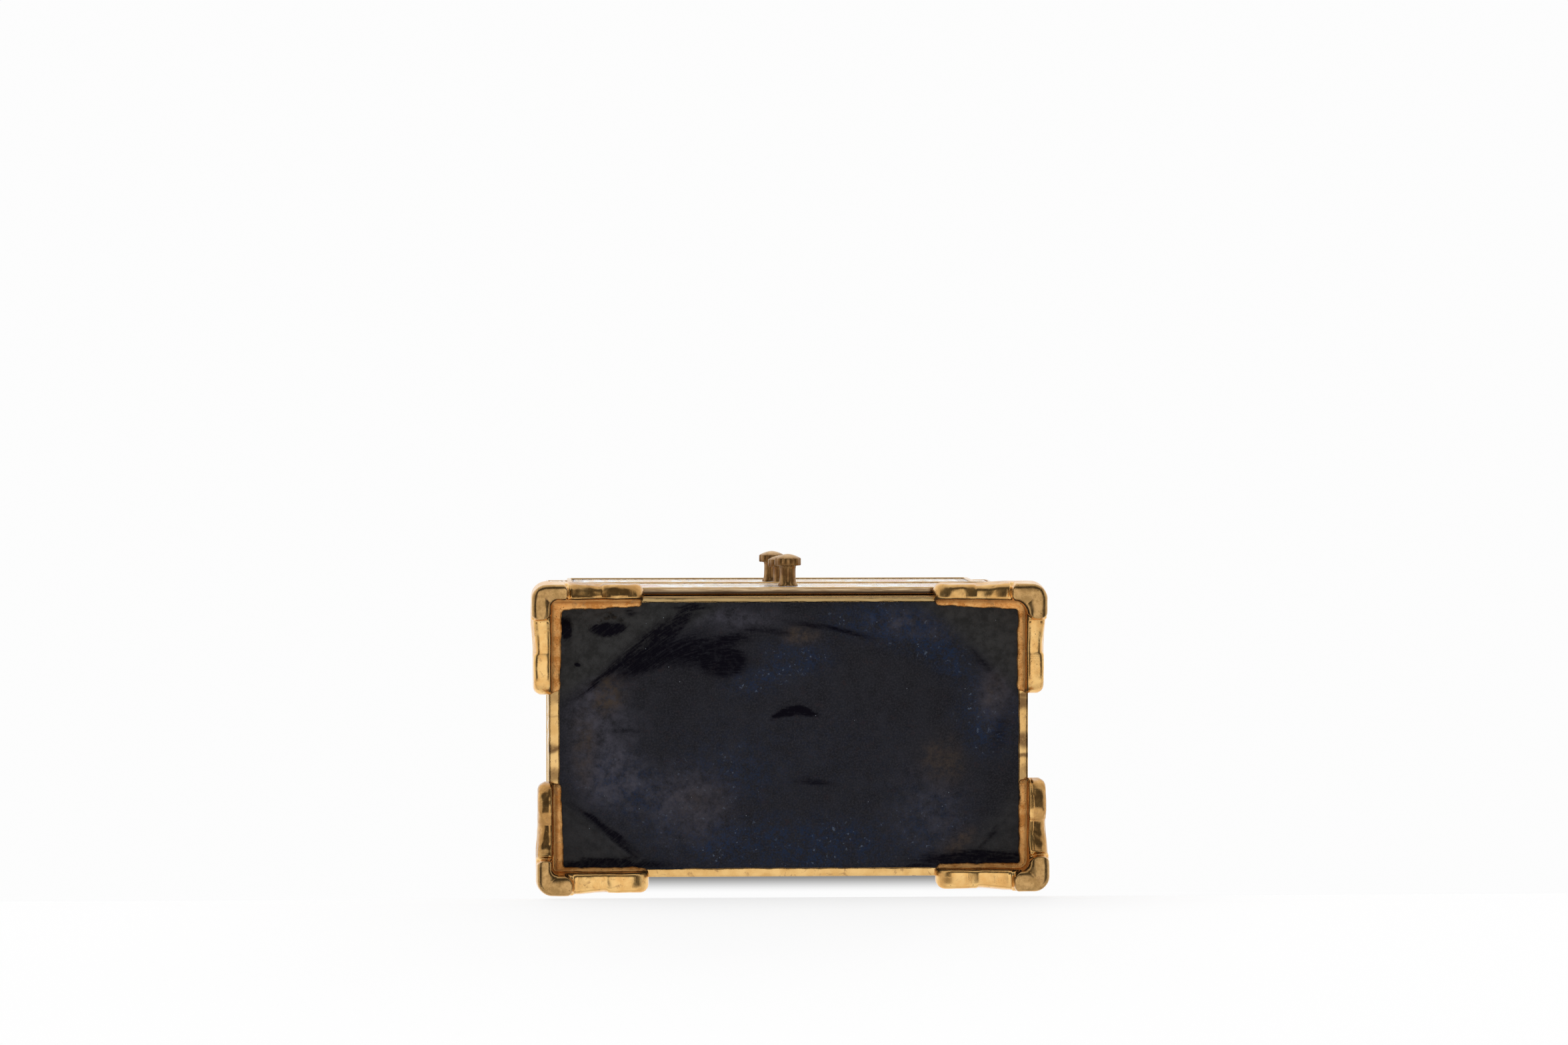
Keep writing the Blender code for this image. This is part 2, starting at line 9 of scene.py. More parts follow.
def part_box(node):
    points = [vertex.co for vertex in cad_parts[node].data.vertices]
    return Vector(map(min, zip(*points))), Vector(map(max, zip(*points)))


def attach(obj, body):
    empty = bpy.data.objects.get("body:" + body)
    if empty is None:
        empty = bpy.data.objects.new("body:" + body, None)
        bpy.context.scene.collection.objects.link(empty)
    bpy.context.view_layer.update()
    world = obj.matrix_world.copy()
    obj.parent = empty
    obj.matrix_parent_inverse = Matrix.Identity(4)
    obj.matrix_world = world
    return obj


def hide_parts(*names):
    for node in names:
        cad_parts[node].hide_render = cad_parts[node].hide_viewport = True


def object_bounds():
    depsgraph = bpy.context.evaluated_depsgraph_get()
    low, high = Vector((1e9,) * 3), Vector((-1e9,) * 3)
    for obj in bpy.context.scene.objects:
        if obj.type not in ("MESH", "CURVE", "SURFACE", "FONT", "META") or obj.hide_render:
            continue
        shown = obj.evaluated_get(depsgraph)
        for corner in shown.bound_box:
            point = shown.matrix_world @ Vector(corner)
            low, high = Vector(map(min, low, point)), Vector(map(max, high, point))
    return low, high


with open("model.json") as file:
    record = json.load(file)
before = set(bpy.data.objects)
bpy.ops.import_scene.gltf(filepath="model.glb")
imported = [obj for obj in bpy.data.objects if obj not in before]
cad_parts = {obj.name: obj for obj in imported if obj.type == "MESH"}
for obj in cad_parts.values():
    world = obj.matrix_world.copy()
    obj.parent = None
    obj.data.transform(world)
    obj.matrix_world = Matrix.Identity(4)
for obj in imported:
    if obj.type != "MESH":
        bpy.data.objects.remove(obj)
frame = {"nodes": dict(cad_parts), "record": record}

CAD_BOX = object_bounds()
MM = 0.001

# Camera, as measured in the photograph's frame of 2352 x 1568 pixels
IMAGE_SIZE = (2352, 1568)
FOCAL_PIXELS = 7715.0
UPRIGHT_VANISHING_POINT = (775.0, 572.0)
BASE_CENTRE_PIXEL = (1183.5, 1106.0)
CAMERA_DISTANCE = 1.0927
SENSOR_WIDTH = 36.0
CLIP_NEAR, CLIP_FAR = 0.05, 20.0

# Light: how bright the studio looks and how bright it shines on things, then the lamps as (name,
# direction to it, strength, degrees across)
PALE = 0.980
AMBIENT = 0.45
LAMPS = (
    ("front_lamp", (-0.25, -0.95, 0.10), 1.3, 50.0),
    ("top_lamp", (0.15, -0.12, 1.0), 1.3, 50.0),
    ("back_lamp", (0.45, 0.80, 0.35), 0.7, 60.0),
)
# The stage's papers: the share of light that they throw back, and how far they stay below PALE
FLOOR_ALBEDO, FLOOR_SHORT = 0.70, 0.012
TABLE_ALBEDO, TABLE_SHORT = 0.40, -0.010
FLOOR_HALF = 6.0
# The sheet with the painted shadow in the gap under the lying chest: its height, reach from the table, dark
# part and half length
GAP_HEIGHT, GAP_REACH, GAP_DARK, GAP_HALF = 10 * MM, 6.0 * MM, 4.1 * MM, 48 * MM

# What reflections see: where it changes along z, or along y for the table, and how bright it is on both sides
SCREEN = (-0.955, -0.850, 1.0, 0.075)
TABLE_LIGHT = (0.18, 0.42, 0.0, 0.92)
CEILING = (0.0, 0.6, 0.72, 1.0)
HORIZON = (-0.52, -0.22)

# The outer box of the base, and the table that the chest's back lies on in the photograph
RIM_LOW, RIM_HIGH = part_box("base_rim")
CENTRE_X = (RIM_LOW.x + RIM_HIGH.x) / 2
CENTRE_Y = (RIM_LOW.y + RIM_HIGH.y) / 2
TABLE_Y = CAD_BOX[1].y + 0.1 * MM

DRAWER_NAMES = ("bottom", "middle", "top")
# The two tones of drawn brass
TRIM_BRIGHT, TRIM_DEEP = (0.83, 0.53, 0.21), (0.72, 0.43, 0.15)


# Node materials; sizes and distances are in millimetres

class Nodes:
    """A node tree under construction, with short calls for the nodes that it needs."""

    def __init__(self, owner, output):
        owner.use_nodes = True
        self.tree = owner.node_tree
        self.tree.nodes.clear()
        self.output = self.tree.nodes.new(output)

    def add(self, kind, inputs=None, output=0, **settings):
        """Output of a new node; inputs maps a socket's name or number to a value or to another output."""
        node = self.tree.nodes.new(kind)
        for key, value in settings.items():
            setattr(node, key, value)
        for key, value in (inputs or {}).items():
            if isinstance(value, bpy.types.NodeSocket):
                self.tree.links.new(value, node.inputs[key])
            else:
                node.inputs[key].default_value = value
        return node.outputs[output]

    def show(self, shader):
        """Link a shader to the tree's output."""
        self.tree.links.new(shader, self.output.inputs["Surface"])

    def split(self, vector):
        """X, Y and Z of a vector."""
        return self.add("ShaderNodeSeparateXYZ", {0: vector}).node.outputs

    def calc(self, operation, *values):
        """Math node."""
        return self.add("ShaderNodeMath", dict(enumerate(values)), operation=operation)

    def times(self, first, *others):
        """Product of values."""
        for other in others:
            first = self.calc("MULTIPLY", first, other)
        return first

    def mix(self, share, first, second):
        """Mix of two values."""
        return self.add("ShaderNodeMix", {0: share, 2: first, 3: second})

    def blend(self, share, first, second, **settings):
        """Mix of two colours."""
        first, second = (c if isinstance(c, bpy.types.NodeSocket) else (*c, 1.0) for c in (first, second))
        return self.add("ShaderNodeMix", {0: share, 6: first, 7: second}, 2, data_type="RGBA", **settings)

    def span(self, value, low, high, to_low=0.0, to_high=1.0):
        """Value mapped smoothly from low..high to to_low..to_high."""
        inputs = {"Value": value, "From Min": low, "From Max": high, "To Min": to_low, "To Max": to_high}
        return self.add("ShaderNodeMapRange", inputs, interpolation_type="SMOOTHSTEP")


class Finish(Nodes):
    """A surface material, built up as coats of colour over a body colour and dents in its relief."""

    def __init__(self, name):
        self.material = bpy.data.materials.new(name)
        super().__init__(self.material, "ShaderNodeOutputMaterial")
        self.place = self.add("ShaderNodeTexCoord", output="Object")
        self.body = self.relief = None

    def attribute(self, name, output="Fac"):
        """A value that the mesh carries."""
        return self.add("ShaderNodeAttribute", output=output, attribute_name=name)

    def noise(self, size, detail=2.0, roughness=0.5, distortion=0.0, place=None, unit=MM):
        """Noise with features of about the given size."""
        return self.add("ShaderNodeTexNoise", {
            "Vector": place or self.place, "Scale": 1.0 / (size * unit), "Detail": detail,
            "Roughness": roughness, "Distortion": distortion})

    def streaks(self, size, detail, roughness, *scale):
        """Noise drawn out along the axis whose scale is small."""
        place = self.add("ShaderNodeVectorMath", {0: self.place, 1: scale}, operation="MULTIPLY")
        return self.noise(size, detail, roughness, place=place)

    def patches(self, size, low, high, to_low=0.0, to_high=1.0, detail=4.0, roughness=0.7, distortion=0.0):
        """Noise mapped smoothly from low..high to to_low..to_high."""
        return self.span(self.noise(size, detail, roughness, distortion), low, high, to_low, to_high)

    def dots(self, size, low, high):
        """Small round spots, one in each cell of a random pattern; low and high are shares of the cell."""
        inputs = {"Vector": self.place, "Scale": 1.0 / (size * MM)}
        return self.span(self.add("ShaderNodeTexVoronoi", inputs, "Distance"), low, high, 1.0, 0.0)

    def clouded(self, first, second, size, detail, roughness, low=0.34, high=0.66):
        """Start the body colour as a cloudy mix of two colours; returns the cloud."""
        cloud = self.noise(size, detail, roughness)
        self.body = self.blend(self.span(cloud, low, high), first, second)
        return cloud

    def coat(self, share, colour):
        """Lay a colour over the body colour."""
        self.body = self.blend(share, self.body, colour)

    def dent(self, height, distance):
        """Add a bump to the relief; the full range of its height map stands for the given distance."""
        inputs = {"Height": height, "Distance": distance * MM, "Strength": 1.0}
        if self.relief is not None:
            inputs["Normal"] = self.relief
        self.relief = self.add("ShaderNodeBump", inputs)

    def surface(self, **inputs):
        """Principled surface; keys are socket names with _ for a space."""
        named = {"Base Color": self.body, "Normal": self.relief}
        named.update((key.replace("_", " "), value) for key, value in inputs.items())
        self.show(self.add("ShaderNodeBsdfPrincipled", named))
        return self.material

    def metal(self, cloud, low, high):
        """Metal whose roughness runs from low to high with a noise."""
        return self.surface(Metallic=1.0, Roughness=self.span(cloud, 0.3, 0.7, low, high))

    def one_sided(self, front):
        """Material that shows the given shader on its front and nothing on its back."""
        back = self.add("ShaderNodeNewGeometry", output="Backfacing")
        clear = self.add("ShaderNodeBsdfTransparent")
        self.show(self.add("ShaderNodeMixShader", {0: back, 1: front, 2: clear}))
        return self.material


def cast_brass():
    """Gilt cast brass of the feet: satin, cross-filed, orange where it was soldered, darker in its hollows
    from patina and painted shade, with painted dark reflections on its toes and slanted arms.
    """
    made = Finish("cast_brass")
    solder, tarnish, along, outward = map(made.attribute, ("solder", "tarnish", "along", "outward"))
    cloud = made.clouded((0.96, 0.61, 0.235), (0.88, 0.49, 0.160), 3.5, 3.0, 0.6, 0.35, 0.68)
    # Painted dark reflection: browner brass on the arms whose lower faces slant
    made.coat(made.times(tarnish, made.patches(2.6, 0.30, 0.60, 0.45, 1.0)), (0.52, 0.275, 0.088))
    # Painted dark reflection: darker olive brass on the toes' soles, the lowest part of each foot
    sole = made.span(made.split(made.place)[2], 0.15 * MM, 1.8 * MM, 1.0, 0.0)
    painted_sole = made.blend(made.patches(2.2, 0.36, 0.64), (0.57, 0.345, 0.140), (0.33, 0.190, 0.068))
    made.coat(made.times(sole, 0.9), painted_sole)
    flux = made.blend(made.patches(3.0, 0.36, 0.58), (0.66, 0.27, 0.066), (0.95, 0.50, 0.170))
    made.coat(solder, flux)
    # Painted shade in the cove where the soldered flange meets the arms' inner faces
    made.coat(made.times(made.span(outward, -1.30, -0.40), solder, 0.85), (0.27, 0.095, 0.022))
    # Darker brown in the hollows, by the mesh's pointiness: patina, and painted shade in the coves
    hollow = made.add("ShaderNodeNewGeometry", output="Pointiness")
    made.coat(made.span(hollow, 0.46, 0.51, 0.35, 0.0), (0.34, 0.15, 0.045))
    made.coat(made.patches(2.0, 0.54, 0.72, 0.0, 0.62, distortion=0.8), (0.36, 0.20, 0.085))
    porous = made.calc("MAXIMUM", made.patches(2.5, 0.50, 0.58, detail=2.0, roughness=0.5), solder)
    pit = made.times(made.dots(0.9, 0.06, 0.13), porous)
    made.coat(made.times(pit, 0.8), (0.10, 0.05, 0.02))
    stroke = made.add("ShaderNodeCombineXYZ", {0: along, 1: made.times(outward, 0.10)})
    filed = made.patches(3.0, 0.46, 0.60, detail=2.0, roughness=0.5)
    filed = made.times(filed, made.calc("SUBTRACT", 1.0, solder))
    made.dent(made.times(made.noise(0.22, 3.0, 0.65, place=stroke, unit=1.0), filed), 0.035)
    made.dent(made.noise(0.10, 3.0, 0.6), 0.006)
    made.dent(made.times(made.noise(3.4, 1.0), made.span(tarnish, 0.0, 1.0, 0.15, 1.0)), 0.75)
    made.dent(made.times(made.noise(0.36, 3.0, 0.7), solder), 0.14)
    made.dent(pit, -0.03)
    rough = made.calc("ADD", made.span(cloud, 0.3, 0.7, 0.18, 0.28), made.times(solder, 0.16))
    return made.surface(Metallic=1.0, Roughness=rough)


def trim_brass(name, bright, deep, wear=0.35):
    """Drawn brass trim: hazed with brown wear spots and finely scratched along its length."""
    made = Finish(name)
    cloud = made.clouded(bright, deep, 5.0, 4.0, 0.6)
    made.coat(made.patches(1.1, 0.58, 0.76, 0.0, wear), (0.27, 0.15, 0.06))
    scratch = made.streaks(0.09, 2.0, 0.6, 0.12, 1.0, 1.0)
    made.dent(made.calc("ADD", scratch, made.streaks(0.09, 2.0, 0.6, 1.0, 1.0, 0.12)), 0.004)
    made.dent(made.noise(1.6), 0.03)
    return made.metal(cloud, 0.12, 0.24)


def rim_brass():
    """Brass of the base's moulding: filed by hand, with brown marks, darker olive along the front, and
    painted shade along its inner edge.
    """
    made = Finish("rim_brass")
    cloud = made.clouded((0.84, 0.54, 0.215), (0.74, 0.44, 0.155), 4.0, 4.0, 0.6)
    made.coat(made.patches(2.6, 0.56, 0.70, 0.0, 0.7, distortion=0.7), (0.30, 0.17, 0.08))
    # Darker olive along the front of the moulding
    made.coat(made.times(made.attribute("dull"), 0.8), (0.34, 0.24, 0.11))
    mark = made.times(made.attribute("mark"), made.patches(0.8, 0.25, 0.50, 0.70, 1.0, roughness=0.75))
    made.coat(mark, (0.20, 0.108, 0.042))
    # Painted shade along the inner edge, where the moulding meets the enamel
    made.coat(made.span(made.attribute("inward"), 0.87, 0.97, 0.0, 0.8), (0.26, 0.13, 0.045))
    made.dent(made.noise(0.12, 3.0, 0.6), 0.006)
    made.dent(made.noise(1.1, 3.0, 0.6), 0.05)
    return made.metal(cloud, 0.13, 0.27)


def knob_brass():
    """Brass of the knobs: satin and brown, lighter on the crown."""
    made = Finish("knob_brass")
    cloud = made.clouded((0.40, 0.225, 0.085), (0.25, 0.125, 0.045), 2.2, 4.0, 0.65)
    # Lighter brass on the crown of each knob
    made.coat(made.times(made.attribute("crown"), 0.8), (0.72, 0.48, 0.24))
    made.coat(made.patches(0.7, 0.56, 0.72, 0.0, 0.7), (0.16, 0.085, 0.035))
    made.dent(made.noise(0.12, 3.0, 0.65), 0.010)
    made.dent(made.noise(0.9), 0.03)
    return made.metal(cloud, 0.30, 0.44)


def plate_brass():
    """Brass of the drawer fronts: trim brass with painted shade on its underside, streaky brown and black
    towards its rear.
    """
    made = Finish("plate_brass")
    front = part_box("bottom_drawer_front")[0].y
    cloud = made.clouded(TRIM_BRIGHT, TRIM_DEEP, 5.0, 4.0, 0.6)
    # Painted shade on the downward faces: streaky brown, turning black towards the rear
    streak = made.streaks(0.35, 4.0, 0.7, 0.06, 1.0, 1.0)
    brown = made.blend(made.span(streak, 0.35, 0.65), (0.62, 0.45, 0.27), (0.30, 0.19, 0.10))
    rear = made.span(made.split(made.place)[1], front + 0.45 * MM, front + 1.15 * MM)
    brown = made.blend(rear, brown, (0.045, 0.026, 0.015))
    facing = made.split(made.add("ShaderNodeNewGeometry", output="True Normal"))
    made.coat(made.span(facing[2], -0.9, -0.6, 1.0, 0.0), brown)
    made.dent(made.streaks(0.09, 2.0, 0.6, 0.12, 1.0, 1.0), 0.006)
    return made.metal(cloud, 0.14, 0.26)


def sheet_brass():
    """Brushed sheet of the trays and runners, with faint oxide."""
    made = Finish("sheet_brass_brushed")
    made.clouded((0.76, 0.53, 0.25), (0.64, 0.43, 0.20), 22.0, 3.0, 0.5, 0.30, 0.75)
    brush = made.streaks(0.16, 4.0, 0.75, 1.0, 0.03, 1.0)
    made.coat(made.span(brush, 0.35, 0.65, 0.0, 0.45), (0.46, 0.29, 0.13))
    made.coat(made.patches(5.0, 0.60, 0.72, 0.0, 0.35, 5.0, distortion=0.6), (0.34, 0.20, 0.10))
    made.dent(brush, 0.012)
    return made.metal(brush, 0.26, 0.44)


def ground_enamel():
    """Opaque pale enamel, stoned flat and polished: slightly clouded, with pinholes and a soft waviness."""
    made = Finish("ivory_enamel_polished")
    made.clouded((0.80, 0.81, 0.86), (0.72, 0.75, 0.80), 7.0, 4.0, 0.6, 0.3, 0.72)
    fine = made.noise(0.35, 3.0, 0.7)
    made.coat(made.span(fine, 0.55, 0.8, 0.0, 0.25), (0.576, 0.600, 0.640))
    hole = made.dots(2.3, 0.020, 0.032)
    made.coat(hole, (0.10, 0.08, 0.07))
    made.dent(made.noise(2.2, 1.0), 0.012)
    made.dent(hole, -0.02)
    return made.surface(Roughness=made.span(fine, 0.3, 0.8, 0.08, 0.16), IOR=1.5)


def cell_enamel():
    """Enamel in the wire cells; its colour comes with the mesh, its flecks and pinholes from nodes."""
    made = Finish("cell_enamel")
    tint = made.attribute("enamel_tint", "Color")
    darker = made.blend(1.0, tint, (0.72, 0.74, 0.78), blend_type="MULTIPLY")
    made.clouded(tint, darker, 1.3, 3.0, 0.65, 0.38, 0.70)
    made.coat(made.patches(0.16, 0.62, 0.75, 0.0, 0.22, 2.0, 0.6), (0.80, 0.82, 0.84))
    hole = made.dots(1.5, 0.022, 0.035)
    made.coat(hole, (0.05, 0.04, 0.04))
    made.dent(made.noise(0.9, 1.0), 0.008)
    made.dent(hole, -0.02)
    return made.surface(Roughness=0.12, IOR=1.5)


def counter_enamel():
    """Fired black and navy enamel of the underside: mottled in its middle, smooth and grey in its corners."""
    made = Finish("counter_enamel")
    middle, smear, mottle, rust, haze, run, cross = map(
        made.attribute, ("middle", "smear", "mottle", "rust", "haze", "run", "cross"))
    drawn = made.add("ShaderNodeCombineXYZ", {0: run, 1: cross})
    fine = made.span(made.noise(0.42, 4.0, 0.8, place=drawn, unit=1.0), 0.36, 0.62, 0.50, 1.15)
    frayed = made.patches(0.9, 0.32, 0.60, 0.60, 1.20, roughness=0.8)
    smear = made.calc("MINIMUM", made.times(smear, fine, frayed), 1.0)
    grain = made.noise(0.40, 4.0, 0.8)
    made.clouded((0.0075, 0.0072, 0.0105), (0.0150, 0.0155, 0.0215), 6.0, 4.0, 0.65)
    made.coat(made.span(grain, 0.42, 0.66, 0.0, 0.9), (0.0370, 0.0350, 0.0420))
    made.coat(made.patches(1.6, 0.56, 0.70, 0.0, 0.6, roughness=0.75), (0.0320, 0.0185, 0.0200))
    blue = made.times(made.patches(1.8, 0.34, 0.66, detail=5.0, roughness=0.78),
                      made.patches(0.45, 0.32, 0.64, 0.25, 1.35, 3.0), mottle)
    made.coat(blue, (0.0125, 0.0290, 0.0760))
    speck = made.times(made.patches(0.75, 0.61, 0.70, detail=3.0, roughness=0.6),
                       made.patches(2.4, 0.45, 0.58, detail=2.0, roughness=0.5),
                       made.span(mottle, 0.10, 0.5), 0.80)
    made.coat(speck, (0.120, 0.155, 0.225))
    pale = made.patches(2.4, 0.28, 0.72, detail=5.0, roughness=0.75)
    made.coat(made.times(pale, haze), (0.0920, 0.0870, 0.1120))
    tan = made.patches(1.8, 0.32, 0.68, detail=5.0, roughness=0.75)
    made.coat(made.times(tan, rust), (0.0950, 0.0660, 0.0460))
    corner = made.blend(made.patches(2.4, 0.34, 0.66, detail=5.0, roughness=0.75),
                        (0.0230, 0.0222, 0.0215), (0.0560, 0.0550, 0.0555))
    made.body = made.blend(middle, corner, made.body)
    made.coat(smear, (0.0070, 0.0060, 0.0105))
    made.coat(made.dots(3.0, 0.020, 0.036), (0.30, 0.33, 0.38))
    made.dent(made.times(grain, middle), 0.018)
    made.dent(made.noise(1.7), 0.012)
    made.dent(smear, -0.03)
    rough = made.calc("ADD", made.mix(middle, 0.10, 0.34), made.times(smear, 0.30))
    shine = made.span(smear, 0.0, 0.9, 0.5, 0.07)
    return made.surface(Roughness=rough, IOR=1.20, Specular_IOR_Level=shine)


def velvet():
    """Short-pile blue velvet of the drawers' linings."""
    made = Finish("velvet_pile")
    made.clouded((0.012, 0.030, 0.110), (0.030, 0.062, 0.190), 6.0, 3.0, 0.6, 0.35, 0.65)
    pile = made.noise(0.14, 2.0, 0.7)
    made.coat(made.span(pile, 0.45, 0.75, 0.0, 0.5), (0.055, 0.100, 0.260))
    made.dent(pile, 0.10)
    return made.surface(Roughness=0.92, Sheen_Weight=0.6, Sheen_Roughness=0.35,
                        Sheen_Tint=(0.35, 0.48, 0.85, 1.0))


# Meshes

LUMP_WAVES = 14


def add_object(name, data):
    """New object in the scene."""
    made = bpy.data.objects.new(name, data)
    bpy.context.scene.collection.objects.link(made)
    return made


def mesh_object(name, vertices, faces, material, smooth=True):
    """New object from lists of points and faces."""
    mesh = bpy.data.meshes.new(name)
    mesh.from_pydata([tuple(v) for v in vertices], [], faces)
    mesh.validate()
    if smooth:
        mesh.shade_smooth()
    mesh.materials.append(material)
    return add_object(name, mesh)


def box_mm(node):
    """Opposite corners of a CAD node's box, in millimetres."""
    return [np.array(corner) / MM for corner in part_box(node)]


def add_piece(name, points, faces, material, body, slot, *nodes, **values):
    """New piece that rides on a body, takes the given material and stands for the given nodes.

    Each of the values gives one number for each vertex. The slot is not used.
    """
    piece = mesh_object(name, points, faces, material)
    for kind, numbers in values.items():
        data = piece.data.attributes.new(kind, "FLOAT", "POINT").data
        data.foreach_set("value", numbers.astype(np.float32))
    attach(piece, body)
    if nodes:
        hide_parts(*nodes)
    return piece


def loft_faces(rows, columns, wraps=False):
    """Quads between rings of points; where it wraps, the last ring meets the first."""
    return [(i * columns + j, i * columns + (j + 1) % columns,
             (i + 1) % rows * columns + (j + 1) % columns, (i + 1) % rows * columns + j)
            for i in range(rows if wraps else rows - 1) for j in range(columns)]


def skirted(columns, rows, top, bottom):
    """Points and faces of a grid closed by walls and a flat bottom, and the number of points added."""
    index = np.arange(columns * rows).reshape(columns, rows)
    edge = np.concatenate([index[0, :-1], index[:-1, -1], index[-1, :0:-1], index[:0:-1, 0]])
    under = top[edge].copy()
    under[:, 2] = bottom
    start, count = len(top), len(edge)
    following = np.roll(np.arange(count), -1)
    quads = np.stack([index[1:, :-1], index[1:, 1:], index[:-1, 1:], index[:-1, :-1]], axis=-1).reshape(-1, 4)
    walls = np.stack([edge, start + np.arange(count), start + following, edge[following]], axis=1)
    faces = quads.tolist() + walls.tolist() + [list(range(start, start + count))[::-1]]
    return np.concatenate([top, under]), faces, count


def ramp(values, low, high):
    """Smooth step from 0 at low to 1 at high."""
    t = np.clip((values - low) / (high - low), 0.0, 1.0)
    return t * t * (3 - 2 * t)


def lumps(points, size, seed):
    """Smooth random field between about -1 and 1, with features of the given size."""
    rng = np.random.default_rng(seed)
    directions = rng.normal(size=(LUMP_WAVES, points.shape[1]))
    directions /= np.linalg.norm(directions, axis=1)[:, None]
    rates = 2 * math.pi / (size * rng.uniform(1.2, 2.6, LUMP_WAVES))
    phases = rng.uniform(0, 2 * math.pi, LUMP_WAVES)
    return np.sin(points @ (directions * rates[:, None]).T + phases).sum(axis=1) / math.sqrt(2 * LUMP_WAVES)


def uneven(points, layers, seed=0):
    """Sum of smooth random fields, given as (height, size of their features, number added to the seed)."""
    return sum(height * lumps(points, size, seed + number) for height, size, number in layers)


# Feet, rim and underside; these functions work in millimetres

FOOT_GRID = 0.2
# A foot: its height, how far it stands out from the case, and how far its arms reach from the corner
FOOT_TOP, FOOT_OUT, FOOT_REACH = 8.55, 3.8, 20.0
# Its lower edge, as places along an arm and heights: toe, step, arch up to a cusp, lobe and end
TOE_END = 4.1
STEP_END, STEP_RISE = 4.9, 2.4
CUSP, CUSP_RISE = 11.2, 4.3
LOBE, LOBE_RISE = 14.6, 3.1
END_RISE = 5.6
# Lower face of an arm: its middle and half width, where its slant turns, and how far its edges rise; an
# arch that doesn't slant is partly level
ARM_MIDDLE, ARM_HALF, SLANT_TURN, ARM_CROWN = 1.6, 1.9, 0.6, 0.10
FLAT_SHARE, FLAT_RISE = 0.65, 3.3
# The toe: how much its end is rounded, and how far its edges rise
TOE_ROUND, TOE_CROWN = 0.9, 0.42
# Outer face: how much it tapers along the arm, flares to its top, and flares more over the arch
ARM_TAPER, FLARE, ARCH_FLARE = 0.4, 0.35, 0.45
# Roundings of a foot: its corner in plan, the ends of its arms, its inner faces and its lower edge
FOOT_CORNER, END_ROUND, WALL_ROUND, EDGE_ROUND = 3.3, 1.9, 0.7, 0.95
# Soldered flange: height of its underside, how much shorter and how far out it is, blend into the arms
FLANGE_LOW, FLANGE_SHORT, FLANGE_OUT, FLANGE_BLEND = 7.35, 0.35, 1.5, 1.1
# Heights between which the solder begins
SOLDER_LOW, SOLDER_HIGH = 6.6, 7.4
# Bulges of the casting, and how ragged the flange's edge is: (height, size, seed)
FOOT_BULGES = ((0.085, 4.0, 0), (0.022, 1.3, 1))
FLANGE_RAGGED = ((0.13, 2.2, 2), (0.05, 0.7, 3))
FIELD_PROBE = 0.02

# For each foot: its arm along X and its arm along Y, each with the slant of its lower face, the
# flange's reach inwards at the corner and at the arm's end, and the place of its inner face; then the
# fillet inside the toe
FOOT_ARMS = {
    "foot_front_left": ((0.34, 2.50, 1.55, -0.1), (0.02, 2.95, 2.35, 0.5), 1.4),
    "foot_front_right": ((0.20, 2.45, 1.40, 0.1), (0.06, 2.15, 2.10, 0.5), 3.0),
    "foot_back_left": ((0.06, 2.00, 1.90, 1.0), (0.44, 2.25, 1.60, -0.3), 1.1),
    "foot_back_right": ((0.10, 1.95, 1.90, 0.9), (0.36, 2.25, 2.35, 0.6), 1.7),
}


def smooth_max(first, second, width):
    """The larger of two fields, with the crease rounded over the given width."""
    near = np.clip(width - np.abs(first - second), 0.0, None) / width
    return np.maximum(first, second) + near * near * width / 4


def smooth_min(first, second, width):
    """The smaller of two fields, with the crease rounded over the given width."""
    return -smooth_max(-first, -second, width)


def quadrant(p, q, radius):
    """Signed distance to the region where p and q are both negative, with a rounded corner."""
    p, q = p + radius, q + radius
    return np.hypot(np.maximum(p, 0), np.maximum(q, 0)) + np.minimum(np.maximum(p, q), 0) - radius


def foot_lower_edge(a):
    """Height of a foot's scalloped lower edge at distance a along an arm from the corner."""
    step = STEP_RISE * ramp(a, TOE_END - 0.2, TOE_END + 0.2)
    rising = np.clip((a - STEP_END) / (CUSP - STEP_END), 0, 1)
    arch = STEP_RISE + (CUSP_RISE - STEP_RISE) * np.sin(rising * math.pi / 2)
    lobe_in = LOBE_RISE + (CUSP_RISE - LOBE_RISE) * np.clip((LOBE - a) / (LOBE - CUSP), 0, 1) ** 2
    lobe_out = LOBE_RISE + (END_RISE - LOBE_RISE) * np.clip((a - LOBE) / (FOOT_REACH - LOBE), 0, 1) ** 2.5
    return np.select([a < STEP_END, a < CUSP, a < LOBE], [step, arch, lobe_in], lobe_out)


def foot_width(a, z):
    """How far a foot's outer face stands out from the case: flared to its top, thinner in its arch."""
    low = foot_lower_edge(a)
    height = np.clip((z - low) / (FOOT_TOP - low), 0, 1)
    taper = ARM_TAPER * ramp(a, TOE_END, CUSP)
    arch = ramp(a, TOE_END - 0.2, TOE_END + 0.5) * (1 - ramp(a, CUSP - 0.3, CUSP + 0.6))
    return FOOT_OUT - taper - (FLARE + ARCH_FLARE * arch) * (1 - height) ** 1.5


